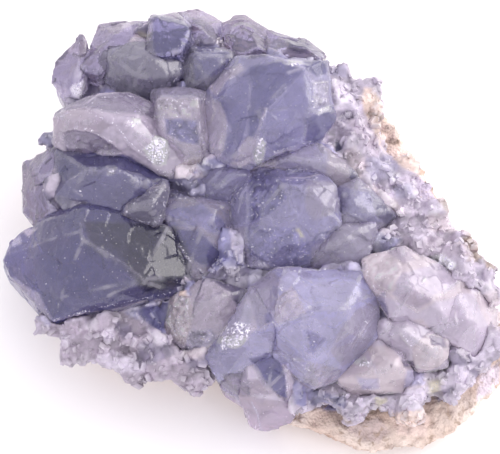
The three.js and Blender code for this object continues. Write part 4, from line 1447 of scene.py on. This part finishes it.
@dataclass(frozen=True)
class Chisel:
    """A block two units wide and high, with two sloping end faces that meet in a ridge.

    Attributes:
        depth: Half its depth.
        shoulder: Height where the sloping faces begin.
        ridge: Height of the ridge.
        ridge_end: Half the ridge's length.
    """

    depth: float = 0.7
    shoulder: float = 0.35
    ridge: float = 0.9
    ridge_end: float = 0.55

    def corners(self) -> np.ndarray:
        """Four corners at the foot, four at the shoulder and two at the ridge, shape (10, 3)."""
        square = ((-1, -self.depth), (1, -self.depth), (1, self.depth), (-1, self.depth))
        foot = [(x, y, -1) for x, y in square]
        shoulder = [(x, y, self.shoulder) for x, y in square]
        return np.array([*foot, *shoulder, (-self.ridge_end, 0, self.ridge),
                         (self.ridge_end, 0, self.ridge)])

    def faces(self) -> np.ndarray:
        """Triangles of its base, sides and sloping top, facing outwards."""
        base = [(0, 2, 1), (0, 3, 2)]
        around = [(k, (k + 1) % 4) for k in range(4)]
        sides = [face for k, n in around for face in ((k, n, n + 4), (k, n + 4, k + 4))]
        top = [(4, 5, 9), (4, 9, 8), (6, 7, 8), (6, 8, 9), (5, 6, 9), (7, 4, 8)]
        return np.array(base + sides + top)


def strewn_mesh(name: str, at: np.ndarray, up: np.ndarray, half: np.ndarray,
                dice: np.random.Generator) -> tuple[bpy.types.Mesh, np.ndarray, np.ndarray]:
    """Joins many chisel-tipped blocks in one mesh, each turned at random about its own axis.

    Args:
        name: Name of the mesh.
        at: Their middles, shape (n, 3).
        up: Where their tips point, shape (n, 3).
        half: Half their width, depth and height, shape (n, 3).
        dice: Source of random numbers.

    Returns:
        The mesh, its corners' places, and each corner's height within its block.
    """
    number = len(at)
    up = up / np.linalg.norm(up, axis=1, keepdims=True)
    side = np.cross(up, dice.normal(size=(number, 3)))
    side /= np.linalg.norm(side, axis=1, keepdims=True)
    axes = np.stack([side, np.cross(up, side), up], axis=1)
    block = Chisel()
    corners, faces = block.corners(), block.faces()
    local = corners[None] * half[:, None, :]
    local[:, 8:, 1] += 0.8 * (dice.random((number, 1)) - 0.5) * half[:, 1:2]
    placed = (at[:, None] + np.einsum("nij,njk->nik", local, axes)).reshape(-1, 3)
    all_faces = faces[None] + (np.arange(number) * len(corners))[:, None, None]
    mesh = bpy.data.meshes.new(name)
    mesh.from_pydata(placed, [], all_faces.reshape(-1, 3).tolist())
    mesh.shade_flat()
    return mesh, placed, np.tile(corners[:, 2], number)


@dataclass
class SmallCrystals:
    """Blocky crystals with chisel tips, strewn over the open side of the crust.

    Attributes:
        count: How many there are.
        least, most: Their smallest and largest size.
        small_share: The higher it is, the more of them are small.
        sunk: How deep they sit in the crust.
        clearance: How far they keep from large crystals.
        open_side: Least cosine between the crust and the way out of the face that carries them.
        sway: How far they lean at random.
        reach: How far they lean out of the face.
    """

    count: int = 1100
    least: float = 0.9 * MM
    most: float = 2.6 * MM
    small_share: float = 2.2
    sunk: float = 0.26 * MM
    clearance: float = 1.0 * MM
    open_side: float = -0.35
    sway: float = 0.9
    reach: float = 0.35

    def build(self, crust: bpy.types.Object, blockers: list[bpy.types.Object]) -> bpy.types.Object:
        """Stands the small crystals on the crust wherever no large crystal covers it.

        Args:
            crust: The finished crust.
            blockers: The large crystals.

        Returns:
            One mesh of all the small crystals.
        """
        dice = np.random.default_rng(Pattern.SMALL_CRYSTALS)
        normals = normals_of(crust.data)
        points = coords_of(crust.data) - self.sunk * normals
        chosen = self.clear_spots(points, normals, trees_of(blockers), dice)
        number = len(chosen)
        up = normals[chosen] + self.sway * (dice.random((number, 3)) - 0.5) + self.reach * OUT_OF_FACE
        size = self.least + (self.most - self.least) * dice.random(number) ** self.small_share
        half = 0.5 * size[:, None] * (0.75 + 0.5 * dice.random((number, 3)))
        mesh, placed, height = strewn_mesh("small_crystals", points[chosen], up, half, dice)
        skin = CrustTones().skin(placed, np.repeat(up, len(placed) // number, axis=0))
        set_colours(mesh, skin.tints)
        set_attribute(mesh, "tip", np.where(height > Chisel.shoulder, TIP_PALENESS, 0.0))
        mesh.materials.append(CrustCelestine().material())
        piece = object_of("small_crystals", mesh)
        settle(piece)
        return piece

    def clear_spots(self, points: np.ndarray, normals: np.ndarray, trees: list[BVHTree],
                    dice: np.random.Generator) -> np.ndarray:
        """Picks points of the crust at random that face out and keep clear of large crystals.

        Args:
            points: The crust's points.
            normals: Directions that they face.
            trees: Search trees of the large crystals.
            dice: Source of random numbers.

        Returns:
            The numbers of the chosen points.
        """
        order = dice.permutation(len(points))
        order = order[normals[order] @ OUT_OF_FACE > self.open_side]
        chosen = []
        for k in order:
            if len(chosen) == self.count:
                break
            spot = Vector(points[k])
            if all(tree.find_nearest(spot, self.clearance)[0] is None for tree in trees):
                chosen.append(k)
        return np.array(chosen)


@dataclass(frozen=True)
class Scatter:
    """How densely splinters lie and how large they are, in millimetres."""

    density: float
    least: float
    most: float
    small_share: float

    def sizes(self, number: int, dice: np.random.Generator) -> np.ndarray:
        """Random sizes in metres, most of them small."""
        return MM * (self.least + (self.most - self.least) * dice.random(number) ** self.small_share)


@dataclass
class Splinters:
    """Frosted splinters and crumbs that lie on breaks and on painted glints, along worn edges and as dust
    on the faces.

    Attributes:
        frosted: Splinters for each square pixel of a frosted break or painted glint.
        grainy: The same for other patches with grain.
        edges: Splinters for each pixel of a worn edge.
        dust: How many grains of dust there are.
        dust_sizes: Their sizes.
        least_grain: Least grain of a patch that carries splinters.
        bare: Tints of streaks that are ridges of clear crystal, without splinters.
        shape: Width, depth and height of a splinter against its size.
    """

    frosted: Scatter = Scatter(0.26, 0.12, 0.4, 1.6)
    grainy: Scatter = Scatter(0.035, 0.12, 0.2, 1.6)
    edges: Scatter = Scatter(1 / 1.8, 0.08, 0.22, 2)
    dust: int = 650
    dust_sizes: Scatter = Scatter(1.0, 0.06, 0.16, 2)
    least_grain: float = 0.8
    bare: tuple[Tint, ...] = (Tint.DEEP, Tint.HEATHER, Tint.HAZE)
    shape: tuple[float, float, float] = (1.0, 0.7, 0.45)

    def on_patch(self, patch: Patch, dice: np.random.Generator) -> tuple[np.ndarray, np.ndarray]:
        """Places on the face, and sizes, of the splinters on one patch."""
        scatter = self.frosted if patch.tint is Tint.FROST_AND_GLINT else self.grainy
        corners = traced(patch.outline)
        low, high = corners.min(0), corners.max(0)
        number = int(np.prod(high - low) * scatter.density)
        found = low + (high - low) * dice.random((number, 2))
        found = found[depth_inside(found, corners) > 0.4]
        return found, scatter.sizes(len(found), dice)

    def on_edge(self, start: np.ndarray, end: np.ndarray,
                dice: np.random.Generator) -> tuple[np.ndarray, np.ndarray]:
        """Places on the face, and sizes, of the splinters along one straight worn edge."""
        number = int(np.linalg.norm(end - start) * self.edges.density)
        found = start + (end - start) * dice.random((number, 1))
        found += dice.normal(size=(number, 2)) * 0.5
        return found, self.edges.sizes(number, dice)

    def spots(self, dice: np.random.Generator) -> tuple[np.ndarray, np.ndarray]:
        """Picks where on the face they lie, and how large they are.

        Args:
            dice: Source of random numbers.

        Returns:
            Places in quarter millimetres, shape (n, 2), and sizes in metres.
        """
        found = [
            self.on_patch(patch, dice)
            for patch in PATCHES
            if patch.tint is Tint.FROST_AND_GLINT or patch.grain >= self.least_grain
        ]
        for streak in STREAKS:
            if streak.lift > 0 and streak.tint not in self.bare:
                route = traced(streak.route)
                found += [self.on_edge(start, end, dice) for start, end in zip(route[:-1], route[1:])]
        dusty = np.array([PHOTO_WIDTH, PHOTO_HEIGHT]) * dice.random((self.dust, 2))
        found.append((dusty, self.dust_sizes.sizes(self.dust, dice)))
        return np.concatenate([part[0] for part in found]), np.concatenate([part[1] for part in found])

    def build(self, grounds: list[bpy.types.Object]) -> bpy.types.Object:
        """Drops each splinter along the line of sight onto what lies there.

        Args:
            grounds: The pieces that splinters may lie on.

        Returns:
            One mesh of all the splinters.
        """
        dice = np.random.default_rng(Pattern.SPLINTERS)
        places, sizes = self.spots(dice)
        eye = FACE_MIDDLE + VIEW_DISTANCE * OUT_OF_FACE
        shift = (places - np.array([PHOTO_WIDTH, PHOTO_HEIGHT]) / 2) * PIXEL
        ways = FACE_MIDDLE + shift[:, :1] * ACROSS - shift[:, 1:] * UP_FACE - eye
        trees = trees_of(grounds)
        hits = [first_hit(trees, Vector(eye), Vector(way)) for way in ways]
        kept = np.array([hit is not None for hit in hits])
        number = kept.sum()
        at = np.array([hit[0] for hit in hits if hit])
        up = np.array([hit[1] for hit in hits if hit]) + 0.5 * (dice.random((number, 3)) - 0.5)
        half = sizes[kept][:, None] * (0.6 + 0.8 * dice.random((number, 3))) * self.shape
        mesh = strewn_mesh("splinters", at, up, half, dice)[0]
        mesh.materials.append(CrushedCelestine().material())
        piece = object_of("splinters", mesh)
        settle(piece)
        return piece


@dataclass
class Specimen:
    """The whole specimen: rock, crust, large crystals and the small ones between them."""

    # Base tints are lighter than the face patches: painted fill light on the steep sides and clefts.
    looks: dict[str, tuple[Tint, Clarity]] = field(default_factory=lambda: {
        "crystal_upper_right": (Tint.HEATHER, Clarity.CLEAR),
        "crystal_lower_centre": (Tint.BLUEBELL, Clarity.CLEAR),
        "crystal_centre": (Tint.HEATHER, Clarity.CLEAR),
        "crystal_left_upper": (Tint.VEIL, Clarity.MILKY),
        "crystal_left_middle": (Tint.SMOKE, Clarity.DEEP),
        "crystal_left": (Tint.DUSK, Clarity.DEEP),
        "crystal_square": (Tint.PEARL, Clarity.CLEAR),
        "crystal_right_lobe": (Tint.BLUSH, Clarity.MILKY),
        "crystal_upper_left": (Tint.HAZE, Clarity.DEEP),
        "crystal_upper_middle": (Tint.HAZE, Clarity.DEEP),
        "crystal_inner_left": (Tint.ASH, Clarity.CLEAR),
        "crystal_lower_left": (Tint.VEIL, Clarity.CLEAR),
        "crystal_right_middle": (Tint.ASH, Clarity.CLEAR),
        "crystal_right_upper": (Tint.VEIL, Clarity.CLEAR),
        "crystal_foot": (Tint.ROSE, Clarity.MILKY),
        "crystal_foot_left": (Tint.ASH, Clarity.CLEAR),
        "crystal_lower_right": (Tint.PEARL, Clarity.MILKY),
        "crystal_rim_left": (Tint.PLUM, Clarity.CLEAR),
        "crystal_rim_top": (Tint.PLUM, Clarity.CLEAR),
        "crystal_rim_west": (Tint.PLUM, Clarity.CLEAR),
    })

    def build(self) -> None:
        """Builds every piece, from the rock up."""
        HostRock().build()
        crust = CrystalCrust().build()
        crystals = [
            LargeCrystal(node, tint, clarity).build()
            for node, (tint, clarity) in self.looks.items()
        ]
        small = SmallCrystals().build(crust, crystals)
        Splinters().build([crust, small, *crystals])


@dataclass
class Studio:
    """A white floor, a bright even room, a low key light, and a camera square to the crystal face.

    Attributes:
        distance: From the camera to the face.
        floor_size: Side of the floor.
        room_strength: Brightness of the room.
        key_place: Where the key light hangs.
        key_size, key_power: Its side in metres and its watts.
        sensor: Width of the camera's sensor in millimetres.
    """

    distance: float = VIEW_DISTANCE
    floor_size: float = 6.0
    room_strength: float = 1.55
    key_place: tuple[float, float, float] = (0.85, 0.45, 0.5)
    key_size: float = 0.9
    key_power: float = 9.0
    sensor: float = 36.0

    def build(self) -> None:
        """Builds the floor, the lights and the camera."""
        self.floor()
        self.room()
        self.key_light()
        self.camera()

    def floor(self) -> None:
        """A matt white sheet under the specimen."""
        half = self.floor_size / 2
        corners = [(-half, -half, 0), (half, -half, 0), (half, half, 0), (-half, half, 0)]
        mesh = bpy.data.meshes.new("floor")
        mesh.from_pydata(corners, [], [(0, 1, 2, 3)])
        paper = Recipe("matt_white_paper")
        mesh.materials.append(paper.finish({
            "Base Color": hex_colour("#F7F5F4"), "Roughness": 0.9, "Specular IOR Level": 0.1}))
        object_of("floor", mesh)

    def room(self) -> None:
        """A bright room, even on all sides."""
        world = bpy.data.worlds.new("bright_room")
        world.use_nodes = True
        sky = world.node_tree.nodes["Background"]
        sky.inputs["Color"].default_value = hex_colour("#F4F2F8")
        sky.inputs["Strength"].default_value = self.room_strength
        bpy.context.scene.world = world

    def key_light(self) -> None:
        """A wide square softbox, low on the right, that points at the specimen."""
        data = bpy.data.lights.new("key", "AREA")
        data.size, data.energy = self.key_size, self.key_power
        data.color = hex_colour("#FFFBF7")[:3]
        light = bpy.data.objects.new("key", data)
        light.location = self.key_place
        light.rotation_euler = (-Vector(self.key_place)).to_track_quat("-Z", "Y").to_euler()
        bpy.context.scene.collection.objects.link(light)

    def camera(self) -> None:
        """Looks at the face square on, from far enough for the picture's near-parallel view."""
        data = bpy.data.cameras.new("camera")
        data.sensor_width = self.sensor
        data.lens = self.sensor * self.distance / (PHOTO_WIDTH * PIXEL)
        data.clip_end = 50.0
        camera = bpy.data.objects.new("camera", data)
        camera.location = Vector(FACE_MIDDLE + OUT_OF_FACE * self.distance)
        turn = Matrix([ACROSS, UP_FACE, OUT_OF_FACE]).transposed()
        camera.rotation_euler = turn.to_euler()
        bpy.context.scene.collection.objects.link(camera)
        bpy.context.scene.camera = camera


def main() -> None:
    """Builds the specimen and the studio; each piece logs its face count."""
    logging.basicConfig(level=logging.INFO, format="%(message)s")
    bpy.context.scene.view_settings.view_transform = "Standard"
    Specimen().build()
    Studio().build()


if __name__ == "__main__":
    main()
